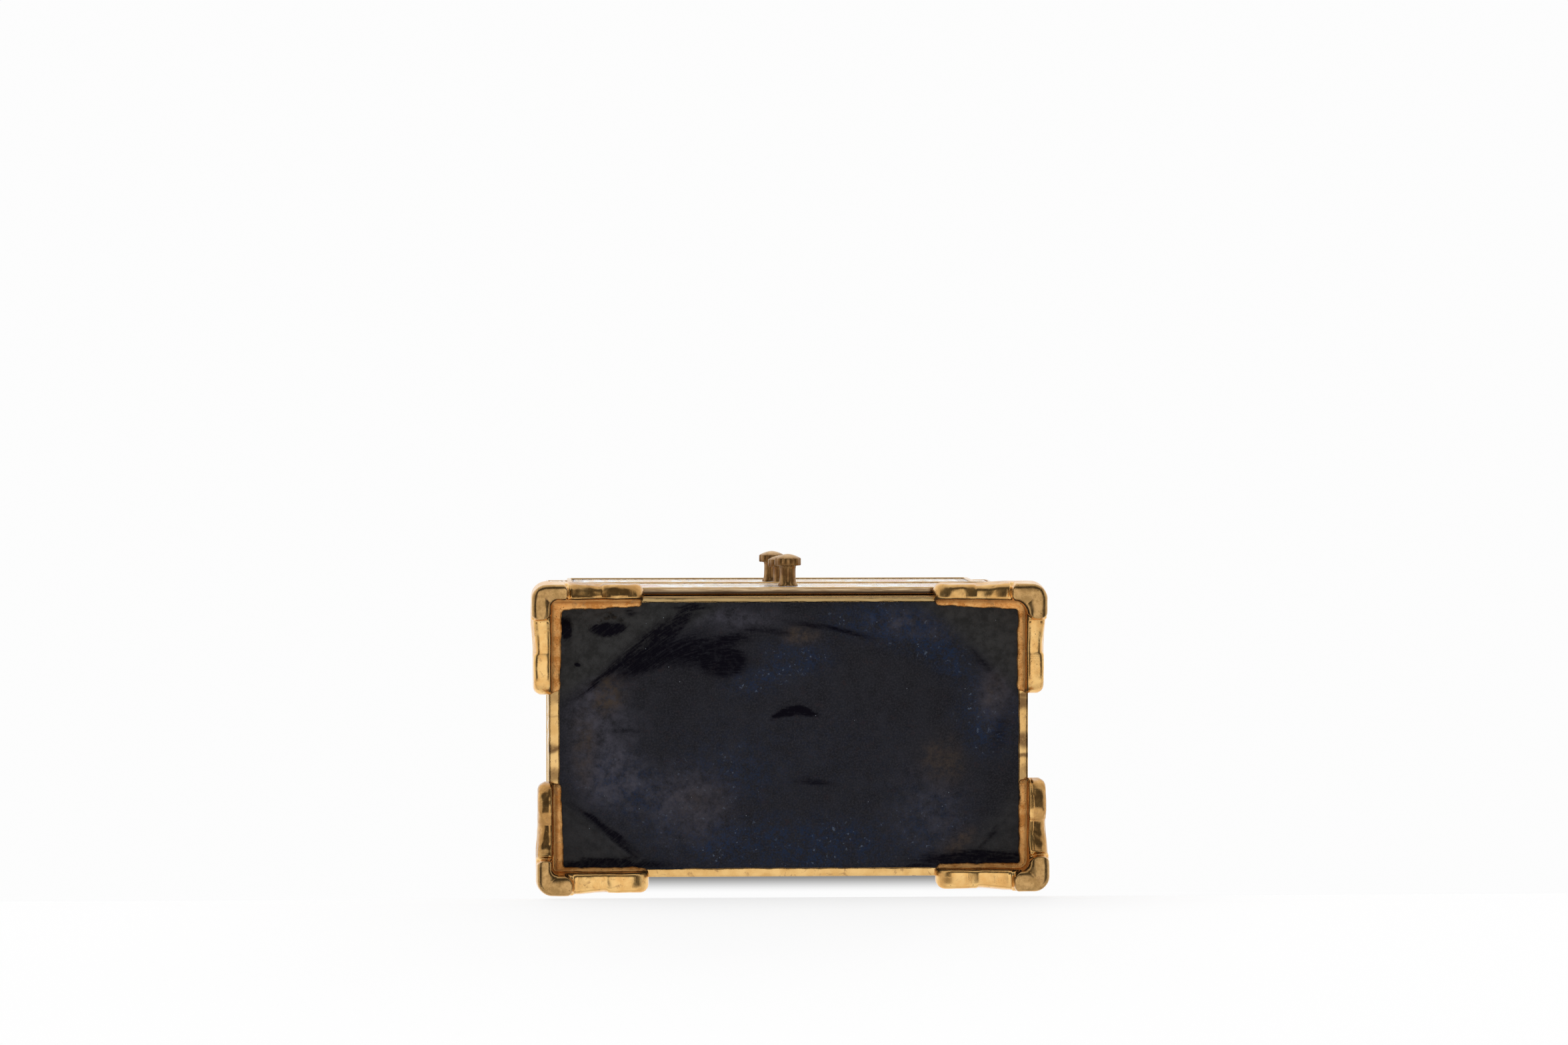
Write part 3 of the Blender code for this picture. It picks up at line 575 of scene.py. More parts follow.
def foot_field(ix, iy, z, arms):
    """Signed distance to a foot at distances ix and iy in from the case's corner and z above the floor."""
    a, out = np.maximum(ix, iy), -np.minimum(ix, iy)
    on_x = ramp(ix - iy, -0.8, 0.8)
    (slant_x, start_x, end_x, wall_x), (slant_y, start_y, end_y, wall_y), fillet = arms
    arm = ramp(a, TOE_END - 0.2, TOE_END + 0.3)
    across = out - ARM_MIDDLE
    slant = slant_y + (slant_x - slant_y) * on_x
    rounded = TOE_ROUND * np.clip(np.abs(across) / ARM_HALF, 0, 1.2) ** 2.5 * (a < STEP_END)
    low = foot_lower_edge(a + rounded)
    calm = FLAT_SHARE * arm * (1 - ramp(slant, 0.05, 0.35)) * (1 - ramp(a, LOBE, FOOT_REACH))
    low = low + calm * (FLAT_RISE - low) + arm * slant * (across + SLANT_TURN)
    low = low + (1 - arm) * TOE_CROWN * np.abs(across / ARM_HALF) ** 2.2
    low = low + ARM_CROWN * arm * (across / ARM_MIDDLE) ** 2
    body = quadrant(-iy - foot_width(ix, z), -ix - foot_width(iy, z), FOOT_CORNER)
    body = smooth_max(body, a - FOOT_REACH, END_ROUND)
    body = smooth_max(body, -quadrant(wall_y - ix, wall_x - iy, fillet), WALL_ROUND)
    body = smooth_max(body, low - z, EDGE_ROUND)
    along = np.clip(a / FOOT_REACH, 0, 1)
    reach_x = start_x + (end_x - start_x) * along
    reach_y = start_y + (end_y - start_y) * along
    flange = -quadrant(reach_y - ix, reach_x - iy, 0.5)
    flange = smooth_max(flange, a - FOOT_REACH + FLANGE_SHORT, 0.8)
    flange = smooth_max(flange, FLANGE_LOW - z, 0.7)
    flange = smooth_max(flange, out - FLANGE_OUT, 0.3)
    return smooth_max(smooth_min(body, flange, FLANGE_BLEND), z - FOOT_TOP, 0.1)


def net_mesh(field):
    """Surface where a sampled field changes sign: vertices in steps of the grid, and quads."""
    inside = field < 0
    counts = sum(inside[i:i - 1 or None, j:j - 1 or None, k:k - 1 or None].astype(np.int8)
                 for i in (0, 1) for j in (0, 1) for k in (0, 1))
    cells = np.argwhere((counts > 0) & (counts < 8))
    number = np.full(counts.shape, -1)
    number[tuple(cells.T)] = np.arange(len(cells))
    total, crossings = np.zeros((len(cells), 3)), np.zeros(len(cells))
    steps = np.eye(3, dtype=int)
    for axis in range(3):
        others = [steps[k] for k in range(3) if k != axis]
        for start in (0 * steps[0], others[0], others[1], others[0] + others[1]):
            first = field[tuple((cells + start).T)]
            second = field[tuple((cells + start + steps[axis]).T)]
            crossed = (first < 0) != (second < 0)
            share = np.where(crossed, first / np.where(crossed, first - second, 1.0), 0.0)
            total += crossed[:, None] * (start + share[:, None] * steps[axis])
            crossings += crossed
    quads = []
    for axis in range(3):
        one, two = [k for k in range(3) if k != axis]
        lower = np.take(inside, range(inside.shape[axis] - 1), axis)
        upper = np.take(inside, range(1, inside.shape[axis]), axis)
        edges = np.argwhere(lower != upper)
        edges = edges[(edges[:, one] > 0) & (edges[:, two] > 0)
                      & (edges[:, one] < number.shape[one]) & (edges[:, two] < number.shape[two])]
        leaving = lower[tuple(edges.T)] != (axis == 1)
        around = [number[tuple((edges - p * steps[one] - q * steps[two]).T)]
                  for p, q in ((1, 1), (0, 1), (0, 0), (1, 0))]
        quad = np.stack(around, axis=1)
        quads.append(np.where(leaving[:, None], quad, quad[:, ::-1]))
    return cells + total / crossings[:, None], np.concatenate(quads)


def make_foot(node, material, seed):
    """Bracket foot: crowned toe, scalloped arms with slanted lower faces, and a ragged soldered flange."""
    side_x, side_y = 1 if "right" in node else -1, 1 if "back" in node else -1
    low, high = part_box(node)
    corner_x = side_x * (high.x if side_x > 0 else low.x) / MM - FOOT_OUT
    corner_y = side_y * (high.y if side_y > 0 else low.y) / MM - FOOT_OUT
    arms = FOOT_ARMS[node]
    edge = 3 * FOOT_GRID
    starts = np.array([-FOOT_OUT - edge, -FOOT_OUT - edge, -edge])
    ends = (FOOT_REACH + edge, FOOT_REACH + edge, FOOT_TOP + edge)
    axes = [np.arange(start, stop, FOOT_GRID) for start, stop in zip(starts, ends)]
    places, quads = net_mesh(foot_field(*np.meshgrid(*axes, indexing="ij"), arms))
    places = starts + places * FOOT_GRID
    for _ in range(2):
        value = foot_field(*places.T, arms)
        slope = np.stack([(foot_field(*(places + FIELD_PROBE * step).T, arms) - value) / FIELD_PROBE
                          for step in np.eye(3)], axis=1)
        places -= slope * np.clip(value / np.maximum((slope ** 2).sum(axis=1), 0.3), -0.1, 0.1)[:, None]
    slope /= np.linalg.norm(slope, axis=1)[:, None] + 1e-9
    along, out = np.maximum(places[:, 0], places[:, 1]), -np.minimum(places[:, 0], places[:, 1])
    solder = ramp(-out, -0.1, 0.5) * ramp(places[:, 2], SOLDER_LOW, SOLDER_HIGH)
    bulges = uneven(places, FOOT_BULGES, seed)
    ragged = uneven(places[:, :2], FLANGE_RAGGED, seed)
    edge_share = solder * ramp(-out, 1.0, 1.6) * ramp(np.abs(slope[:, 0]) + np.abs(slope[:, 1]), 0.2, 0.8)
    places += slope * (bulges * (1 - 0.4 * solder) + ragged * edge_share)[:, None]
    x, y = side_x * (corner_x - places[:, 0]), side_y * (corner_y - places[:, 1])
    points = np.stack([x, y, np.maximum(places[:, 2], 0.002)], axis=1) * MM
    for axis in (0, 1):
        points[:, axis] = np.clip(points[:, axis], CAD_BOX[0][axis], CAD_BOX[1][axis])
    if side_x * side_y < 0:
        quads = quads[:, ::-1]
    slants = np.where(places[:, 0] > places[:, 1], arms[0][0], arms[1][0])
    # Arms whose lower faces slant: the cast brass paints a dark reflection there and hammers them harder
    tarnish = ramp(slants, 0.0, 0.45) * ramp(along, TOE_END, STEP_END) * (1 - ramp(-out, -0.6, 0.2))
    add_piece(node + "_cast", points, quads.tolist(), material, "case", "gilt_brass", node,
              solder=solder, along=along, outward=out, tarnish=tarnish)


# Brown marks along the two short sides of the rim: (side, y from the middle, half length, strength)
RIM_MARKS = (
    (-1, 2.1, 1.0, 1.0), (-1, 7.9, 1.4, 0.8), (-1, -9.2, 2.2, 0.6), (-1, -4.6, 0.3, 0.4),
    (1, -9.0, 0.5, 1.0), (1, -7.2, 1.5, 1.0), (1, 0.9, 1.7, 1.0), (1, 4.0, 0.6, 1.0), (1, 8.4, 2.4, 0.6),
)
# Widths at the left, right, front and rear
RIM_WIDTHS = (2.36, 2.10, 0.92, 1.90)
RIM_PITCH = 0.35
# Shares of its height that are upright and rounded, and the power that makes it fuller than round
RIM_WALL, RIM_ROUND, RIM_FULL = 0.45, 0.55, 0.45
RIM_STEPS = 12
# Its dents, and how ragged its inner edge is: (height, size, seed)
RIM_DENTS = ((0.05, 6.0, 31), (0.03, 2.0, 32), (0.008, 0.6, 35))
RIM_RAGGED = ((0.07, 3.0, 34), (0.03, 0.9, 36))
SHORT_SIDES_START = 47.0


def rim_profile():
    """Section of the rim as (share of its width from outside to inside, share of its height from the top)."""
    section = [(0.0, 0.0), (0.0, RIM_WALL)]
    for k in range(1, RIM_STEPS):
        angle = math.pi * k / RIM_STEPS
        section.append((0.5 - 0.5 * math.copysign(abs(math.cos(angle)) ** RIM_FULL, math.cos(angle)),
                        RIM_WALL + RIM_ROUND * math.sin(angle) ** RIM_FULL))
    return section + [(1.0, RIM_WALL), (1.0, 0.0)]


def make_rim(material):
    """Half-round moulding round the underside, soldered on in four lengths, filed by hand."""
    low, high = box_mm("base_rim")
    section = np.array(rim_profile())
    count_x, count_y = (int((high[k] - low[k]) / RIM_PITCH) for k in (0, 1))
    run_x, run_y = np.arange(count_x) / count_x, np.arange(count_y) / count_y
    path_x = np.concatenate([run_x, np.ones(count_y), 1 - run_x, np.zeros(count_y)])
    path_y = np.concatenate([np.zeros(count_x), run_y, np.ones(count_x), 1 - run_y])
    rings = []
    for inward, down in section:
        left, right, front, rear = (inward * width for width in RIM_WIDTHS)
        x = low[0] + left + path_x * (high[0] - low[0] - left - right)
        y = low[1] + front + path_y * (high[1] - low[1] - front - rear)
        rings.append(np.stack([x, y, np.full(len(x), high[2] - down * (high[2] - low[2]))], axis=1))
    points = np.stack(rings, axis=1).reshape(-1, 3)
    shares, lower = (np.tile(column, len(path_x)) for column in section.T)
    run = np.stack([points[:, 0], points[:, 1], 3 * shares], axis=1)
    points[:, 2] += lower * (uneven(run, RIM_DENTS) + 0.10 * (shares - 0.5) * lumps(points[:, :2], 9.0, 33))
    points[:, 2] = np.maximum(points[:, 2], low[2] - 0.12)
    inner = ramp(shares, 0.55, 1.0) * uneven(points[:, :2], RIM_RAGGED)
    middle = np.array([CENTRE_X, CENTRE_Y]) / MM
    points[:, :2] += np.sign(middle - points[:, :2]) * inner[:, None]
    x, y = points[:, 0] - middle[0], points[:, 1] - middle[1] + 0.35 * lumps(points, 1.1, 37)
    marks = [strength * np.exp(-((y - place) / half) ** 4) * (side * x > SHORT_SIDES_START)
             for side, place, half, strength in RIM_MARKS]
    add_piece("base_rim_moulding", points * MM, loft_faces(len(path_x), len(section), wraps=True), material,
              "case", "gilt_brass", "base_rim", inward=shares, mark=np.clip(sum(marks), 0, 1),
              dull=ramp(-points[:, 1], -low[1] - 3.0, -low[1] - 0.5))


def waves(x, y, size, seed):
    """Random field from 0 to 1 on a plane, with smooth features of the given size."""
    table = np.random.default_rng(seed).random((64, 64))
    across, down = x / size, y / size
    i, j = np.floor(across).astype(int), np.floor(down).astype(int)
    s, t = (v * v * (3 - 2 * v) for v in (across - i, down - j))
    corner = [table[(i + p) % 64, (j + q) % 64] for p in (0, 1) for q in (0, 1)]
    return (corner[0] * (1 - t) + corner[1] * t) * (1 - s) + (corner[2] * (1 - t) + corner[3] * t) * s


def cloud_field(x, y, size, seed, octaves=4, keep=0.55):
    """Several sizes of random field added up, from 0 to 1."""
    total, weight = 0.0, 0.0
    for k in range(octaves):
        total = total + keep ** k * waves(x + 7.3 * k, y - 4.1 * k, size / 2 ** k, seed + k)
        weight += keep ** k
    return total / weight


def turned(x, y, centre_x, centre_y, degrees):
    """Distances along and across the length of a spot that is turned round its centre."""
    cosine, sine = math.cos(math.radians(degrees)), math.sin(math.radians(degrees))
    return (x - centre_x) * cosine + (y - centre_y) * sine, (y - centre_y) * cosine - (x - centre_x) * sine


def patch(x, y, spot):
    """Soft elliptic spot, given as (x, y, half width, half height, strength, turn in degrees)."""
    centre_x, centre_y, half_x, half_y, strength, degrees = spot
    along, across = turned(x, y, centre_x, centre_y, degrees)
    return strength * np.exp(-((along / half_x) ** 2 + (across / half_y) ** 2) ** 1.3)


# Underside enamel, in millimetres from the middle of the base; y grows towards the rear
BLUE_MOTTLES = (
    (25, -23, 9, 4.5, 1.0, 10), (16, -25, 8, 3.5, 0.7, 0), (34, -17, 7, 4, 0.7, 40), (2, -17, 7, 4.5, 0.8, 0),
    (-7, -12, 6, 3, 0.8, -10), (-36, 10, 9, 6, 0.95, 25), (-22, 17, 10, 7, 0.6, 0), (-13, 8, 9, 6, 0.5, 0),
    (0, 23, 24, 5.5, 0.9, 0), (42, -4, 6, 8, 0.9, 0), (30, 18, 9, 8, 0.45, 0), (-2, 4, 30, 12, 0.18, 0),
)
GREY_HAZES = (
    (-37, 9, 8, 6, 0.8, 30), (-43, -4, 4, 9, 0.6, 0), (-22, 15, 9, 8, 0.5, 0), (44, -9, 4, 6, 0.7, 0),
    (30, 16, 8, 9, 0.35, 0), (28, -24, 10, 3, 0.5, 5), (-12, -25.2, 9, 2.2, 0.7, 0), (0, 0, 44, 26, 0.10, 0),
    (-38, 0, 6, 14, 0.5, 0), (-44, -19, 2.5, 4, 0.8, 30), (-32, -25, 4, 1.6, 0.4, -30),
)
BROWN_BLOTCHES = (
    (-38.5, -9.5, 3.2, 4.2, 0.9, 20), (2.5, -21.5, 3.4, 1.8, 1.0, 0), (-43.5, 3, 2.4, 7, 0.55, 0),
    (33, 5, 4.5, 5, 0.55, 0), (36, 23, 5, 2.2, 0.6, -35), (-19, 14, 7, 6, 0.35, 0), (44, -9.5, 3, 5, 0.45, 0),
)
# Dark smears drawn out in the glaze, each with fine streaks along its own length
DARK_SMEARS = (
    (-38.5, -13.6, 7.5, 1.0, 0.8, -37), (-31, -18.2, 8, 2.8, 0.85, -40), (-24.5, -23.6, 6.5, 1.9, 0.85, -42),
    (-29.5, -15.9, 5.0, 1.5, 0.95, -25), (-22, -18.5, 6.5, 3.2, 0.85, -8), (-14.4, -16.2, 4.6, 2.9, 1.4, 4),
    (-13, -20.5, 4.2, 1.2, 0.80, -8), (-21, -27.6, 4.0, 0.8, 0.70, 0), (-5, -22.6, 6.0, 0.6, 0.45, 6),
    (4, -23.8, 5.0, 0.6, 0.45, 10), (12, -22.4, 5.5, 0.55, 0.60, 14),
    (5.4, 9.6, 4.2, 0.8, 0.45, 4), (45.2, -1.0, 1.5, 5.0, 0.26, 10), (41, -16, 4.5, 0.9, 0.35, 48),
    (-38.5, 19.6, 8.0, 0.8, 0.75, 37), (-36, 22.6, 4.5, 0.5, 0.60, 39), (-38, 26.9, 10, 1.1, 1.40, 0),
    (40.5, 26.3, 10.5, 1.6, 1.60, 0), (42.5, 21.5, 5.0, 0.6, 0.35, -46), (28, 27.5, 6.0, 0.5, 0.50, 0),
    (-35, -1.3, 3.4, 0.35, 0.35, 2), (-33.5, -26.6, 1.6, 0.5, 0.60, -4),
)
# Smooth dark pools in the glaze: (x, y, half width, half height, sag of the ends, turn in degrees)
DARK_POOLS = (
    (-38.3, -22.9, 4.3, 1.75, -0.3, -4), (-47.4, -23.2, 1.5, 2.6, 0.0, 0), (1.6, -5.6, 5.2, 1.25, 1.5, 0),
    (-44.9, -15.5, 0.8, 0.45, 0.0, 10),
)
POOL_DEPTH = 1.45
# Bubbles and pinholes: (x, y, radius, height)
BUBBLES = (
    (-39.6, -24.2, 2.9, 0.52), (-37.0, -25.4, 1.8, 0.26), (-43.3, -26.4, 0.70, 0.20),
    (-43.3, -26.4, 0.28, -0.22), (-44.6, -15.4, 1.0, 0.22), (-47.6, -23.4, 1.6, 0.55),
    (-38.7, -25.6, 0.60, -0.22), (-37.0, -25.9, 0.55, -0.22), (-35.4, -25.3, 0.60, -0.20),
    (-40.3, -24.9, 0.55, -0.18), (-30.3, -27.4, 0.8, 0.12), (-46.0, -17.0, 0.5, 0.06),
)
# Lines across the four smooth corners: a place on each, and the direction into its corner
CORNER_LINES = (
    (-31.5, -18.5, -0.50, -0.87), (39.5, -19.0, 0.68, -0.73),
    (-40.0, 19.0, -0.62, 0.78), (41.5, 20.0, 0.74, 0.67),
)
# Pairs of folds in the rear corners: corner line, side, start and full depth along x, full depth along y,
# height, places past the line, and share of the second fold
FOLDS = (
    (CORNER_LINES[2], -1, 30.0, 34.0, 15.0, 0.20, 1.2, 3.6, 0.7),
    (CORNER_LINES[3], 1, 33.0, 37.0, 16.0, 0.09, 1.5, 4.2, 1.0),
)
# Left of its start the glaze was drawn out along a slope, after a bend of the given size
DRAWN_START, DRAWN_SLOPE, DRAWN_BEND = -22.0, 0.78, 3.0
# Where the enamel meets the rim, and how its mesh is laid out
BASE_HALF_X, BASE_HALF_Y = 48.9, 28.0
BASE_PITCH = 0.22
BASE_SPREAD = 0.45
BASE_FACE_DROP = 0.05
# Its waves: (height, size, seed)
BASE_WAVES = ((0.045, 19.0, 41), (0.010, 5.0, 42))


def past_line(x, y, line):
    """How far a place lies past one of the corner lines."""
    line_x, line_y, into_x, into_y = line
    return (x - line_x) * into_x + (y - line_y) * into_y


def corner_share(x, y):
    """How far a place is inside one of the four smooth corners, in millimetres; negative in the middle."""
    ragged = 1.6 * (cloud_field(x, y, 5.0, 71) - 0.5)
    return np.max([past_line(x, y, line) for line in CORNER_LINES], axis=0) + ragged


def base_height(x, y):
    """How far the fired enamel stands out towards the viewer of the underside."""
    flat = np.stack([x, y], axis=1)
    height = uneven(flat, BASE_WAVES)
    # It creeps up the rim at the sides and the front, and stands against it in pools at the rear
    height += 0.10 * np.exp(-(BASE_HALF_X - np.abs(x)) / 0.6) + 0.06 * np.exp(-(BASE_HALF_Y + y) / 0.5)
    right = ramp(x, 29.0, 33.0)
    pool = 0.25 + ramp(-x, 20.0, 30.0) + 1.35 * right
    height += 0.40 * pool * np.exp(-((BASE_HALF_Y - y) / (1.0 + 0.6 * right)) ** 2)
    # The corners are raised, and folds run across the two at the rear
    height += 0.10 * ramp(corner_share(x, y), -1.2, 1.4)
    for line, side, start, end, rear, tall, first, second, share in FOLDS:
        past = past_line(x, y, line)
        reach = ramp(side * x, start, end) * ramp(y, 12.0, rear)
        folds = np.exp(-((past - first) / 0.9) ** 2) + share * np.exp(-((past - second) / 0.8) ** 2)
        height += tall * reach * folds
    # A shallow hollow in the middle, then the bubbles, then ripples along the right side
    height -= 0.10 * np.exp(-(((x - 1.3) / 6.0) ** 2 + ((y + 0.6) / 4.6) ** 2))
    for place_x, place_y, size, tall in BUBBLES:
        height += tall * np.exp(-(((x - place_x) ** 2 + 1.5 * (y - place_y) ** 2) / size ** 2) ** 1.5)
    ripples = ramp(x, 41.0, 44.0) * ramp(-np.abs(y + 1.0), -9.0, -5.0)
    return height + 0.035 * ripples * np.sin(2.6 * y + 2.0 * lumps(flat, 3.0, 46) + 0.4 * x)


def dark_streaks(x, y):
    """Dark smears drawn out in the glaze, from 0 to 1."""
    total = np.zeros_like(x)
    for seed, spot in enumerate(DARK_SMEARS):
        along, across = turned(x, y, 0.0, 0.0, spot[-1])
        across = across + 0.5 * (cloud_field(x, y, 3.0, 60 + seed) - 0.5)
        fine = cloud_field(along / 6.0, across, 0.55, 600 + 9 * seed, 3, 0.8)
        wide = cloud_field(along / 3.0, across, 1.9, 800 + 9 * seed, 3, 0.6)
        ragged = 0.6 * (wide - 0.5) + 0.5 * (fine - 0.5)
        share = patch(x + 2.0 * ragged, y + 2.0 * ragged, spot)
        total = np.maximum(total, share * np.clip(0.3 + 1.5 * fine, 0, 1.3)) + 0.35 * np.minimum(total, share)
    return np.clip(1.35 * total, 0, 1)


def dark_pools(x, y):
    """Smooth dark pools in the glaze, 0 outside and above 1 inside."""
    total = np.zeros_like(x)
    ragged = 0.75 * (cloud_field(x, y, 2.4, 57, 4, 0.7) - 0.5)
    for centre_x, centre_y, half_x, half_y, sag, degrees in DARK_POOLS:
        along, across = turned(x, y, centre_x, centre_y, degrees)
        along = along / half_x
        across = (across - sag * along ** 2) / half_y
        total = np.maximum(total, POOL_DEPTH * ramp(1 - np.hypot(along, across) + ragged, -0.15, 0.45))
    return total


def drawn_out(x):
    """How far the lines in which the glaze was drawn out rise towards the front at x."""
    return -DRAWN_SLOPE * DRAWN_BEND * np.log1p(np.exp(-(x - DRAWN_START) / DRAWN_BEND))


def make_base(material):
    """Counter-enamel as it came out of the kiln, pooled against the rim."""
    low, high = box_mm("base_enamel")
    columns, rows = (int((high[k] - low[k] + 2 * BASE_SPREAD) / BASE_PITCH) for k in (0, 1))
    xs = np.linspace(low[0] - BASE_SPREAD, high[0] + BASE_SPREAD, columns)
    ys = np.linspace(low[1] - BASE_SPREAD, high[1] + BASE_SPREAD, rows)
    grid_x, grid_y = (g.ravel() for g in np.meshgrid(xs, ys, indexing="ij"))
    x, y = grid_x - CENTRE_X / MM, grid_y - CENTRE_Y / MM
    below = np.stack([grid_x, grid_y, low[2] + BASE_FACE_DROP - base_height(x, y)], axis=1)
    points, faces, added = skirted(columns, rows, below, high[2])
    values = {"middle": 1 - ramp(corner_share(x, y), -2.6, 2.2) * (1 - 0.45 * ramp(y, 8.0, 14.0)),
              "smear": dark_streaks(x, y)}
    for name, spots, least, more, size, seed in (("mottle", BLUE_MOTTLES, 0.35, 1.1, 3.2, 81),
                                                 ("rust", BROWN_BLOTCHES, 0.4, 1.6, 2.4, 91),
                                                 ("haze", GREY_HAZES, 0.5, 1.6, 4.0, 95)):
        cloud = least + more * cloud_field(x, y, size, seed)
        values[name] = sum(patch(x, y, spot) for spot in spots) * cloud
    values = {name: np.clip(value, 0, 1) for name, value in values.items()}
    values.update(smear=np.maximum(values["smear"], dark_pools(x, y)), run=0.10 * x, cross=y + drawn_out(x))
    values = {name: np.concatenate([value, np.zeros(added)]) for name, value in values.items()}
    add_piece("base_enamel_fired", points * MM, [face[::-1] for face in faces], material,
              "case", "navy_enamel", "base_enamel", **values)


# Cloisonne pattern; a Design is drawn flat, in millimetres, s to the right and t up, and then placed

WIRE_WIDTH = 0.18
BAND, BAND_PITCH = 2.3, 3.9
STEM_HALF = 0.24
LEAF_LENGTH = 4.4
LAYER_RISE = 0.022
CURL_GRID = 3.0
# A vine's arc and coil: their points, the coil's first and last angle in half turns, how far it winds in
ARC_POINTS, COIL_POINTS, COIL_START, COIL_END, COIL_IN = 26, 34, 0.72, 2.30, 0.44
# Leaves along both: (share of the length, side)
ARC_LEAVES = ((0.16, -1), (0.42, -1), (0.60, 1), (0.80, -1))
COIL_LEAVES = ((0.34, -1), (0.50, 1), (0.64, -1), (0.80, -1))
INKS = {
    "navy": (0.012, 0.030, 0.170), "blue": (0.030, 0.120, 0.520), "sky": (0.300, 0.520, 0.780),
    "turquoise": (0.020, 0.280, 0.340), "pink": (0.760, 0.200, 0.270), "blush": (0.880, 0.620, 0.620),
    "red": (0.420, 0.022, 0.020), "coral": (0.780, 0.180, 0.090), "yellow": (0.800, 0.480, 0.060),
    "white": (0.820, 0.820, 0.800), "green": (0.020, 0.160, 0.060), "lime": (0.230, 0.420, 0.110),
    "lilac": (0.380, 0.240, 0.620),
}
BLOOMS = (("red", "pink"), ("navy", "sky"), ("coral", "yellow"), ("lilac", "blush"), ("pink", "white"))
# Each kind of flower: (petals, reach, width as a share of the flower's radius) from outside to inside
FLOWERS = (
    ((8, 1.0, 0.74), (7, 0.76, 0.62), (6, 0.52, 0.48), (5, 0.30, 0.34)),
    ((16, 1.0, 0.34), (13, 0.76, 0.30), (9, 0.50, 0.26)),
    ((6, 1.0, 0.92), (6, 0.62, 0.54)),
)


class Layer:
    """A mesh that grows in panel coordinates, with a colour for each vertex."""

    def __init__(self):
        self.points, self.faces, self.tints, self.count = [], [], [], 0

    def add(self, points, faces, tints):
        """Add a patch of mesh; its faces count its own points from 0."""
        self.points.append(points)
        self.tints.append(np.broadcast_to(tints, points.shape))
        self.faces.extend(tuple(int(i) + self.count for i in face) for face in faces)
        self.count += len(points)

    def sweep(self, path, profile, tint, closed=False):
        """Surface of a profile, given as (across, height) from right to left, along a path."""
        path = np.asarray(path, dtype=float)
        ahead = np.roll(path, -1, axis=0) - np.roll(path, 1, axis=0)
        if not closed:
            ahead[0], ahead[-1] = path[1] - path[0], path[-1] - path[-2]
        ahead /= np.linalg.norm(ahead, axis=1)[:, None] + 1e-9
        left = np.stack([-ahead[:, 1], ahead[:, 0]], axis=1)
        n, m = len(path), len(profile)
        points = np.empty((n, m, 3))
        for k, (across, height) in enumerate(profile):
            points[:, k, :2] = path + left * across
            points[:, k, 2] = height
        faces = [(i * m + k, (i + 1) % n * m + k, (i + 1) % n * m + k + 1, i * m + k + 1)
                 for i in range(n if closed else n - 1) for k in range(m - 1)]
        self.add(points.reshape(-1, 3), faces, tint)


def placed(layer, name, panel, material, body, slot):
    """Turn a layer into an object on a panel, given as (origin, right, up, outward, lift)."""
    origin, right, up, outward, lift = panel
    flat = np.concatenate(layer.points)
    points = (np.array(origin) + flat[:, :1] * MM * np.array(right) + flat[:, 1:2] * MM * np.array(up)
              + flat[:, 2:] * MM * lift * np.array(outward))
    piece = add_piece(name, points, layer.faces, material, body, slot)
    tints = np.concatenate(layer.tints)
    colours = np.column_stack([tints, np.ones(len(tints))]).astype(np.float32)
    data = piece.data.color_attributes.new("enamel_tint", "FLOAT_COLOR", "POINT").data
    data.foreach_set("color", colours.ravel())


def petal_outline(root, angle, length, width, fullness):
    """Closed outline of a petal or leaf; fullness above 1 puts its widest part nearer the tip."""
    t = np.linspace(0, 1, 8)
    half = width / 2 * np.sin(np.pi * t ** fullness) ** 0.75
    side = np.stack([t * length, half], axis=1)
    other = np.stack([t * length, -half], axis=1)[-2:0:-1]
    outline = np.concatenate([other[::-1], side[::-1]])
    cosine, sine = math.cos(angle), math.sin(angle)
    return np.array(root) + outline @ np.array([[cosine, sine], [-sine, cosine]])


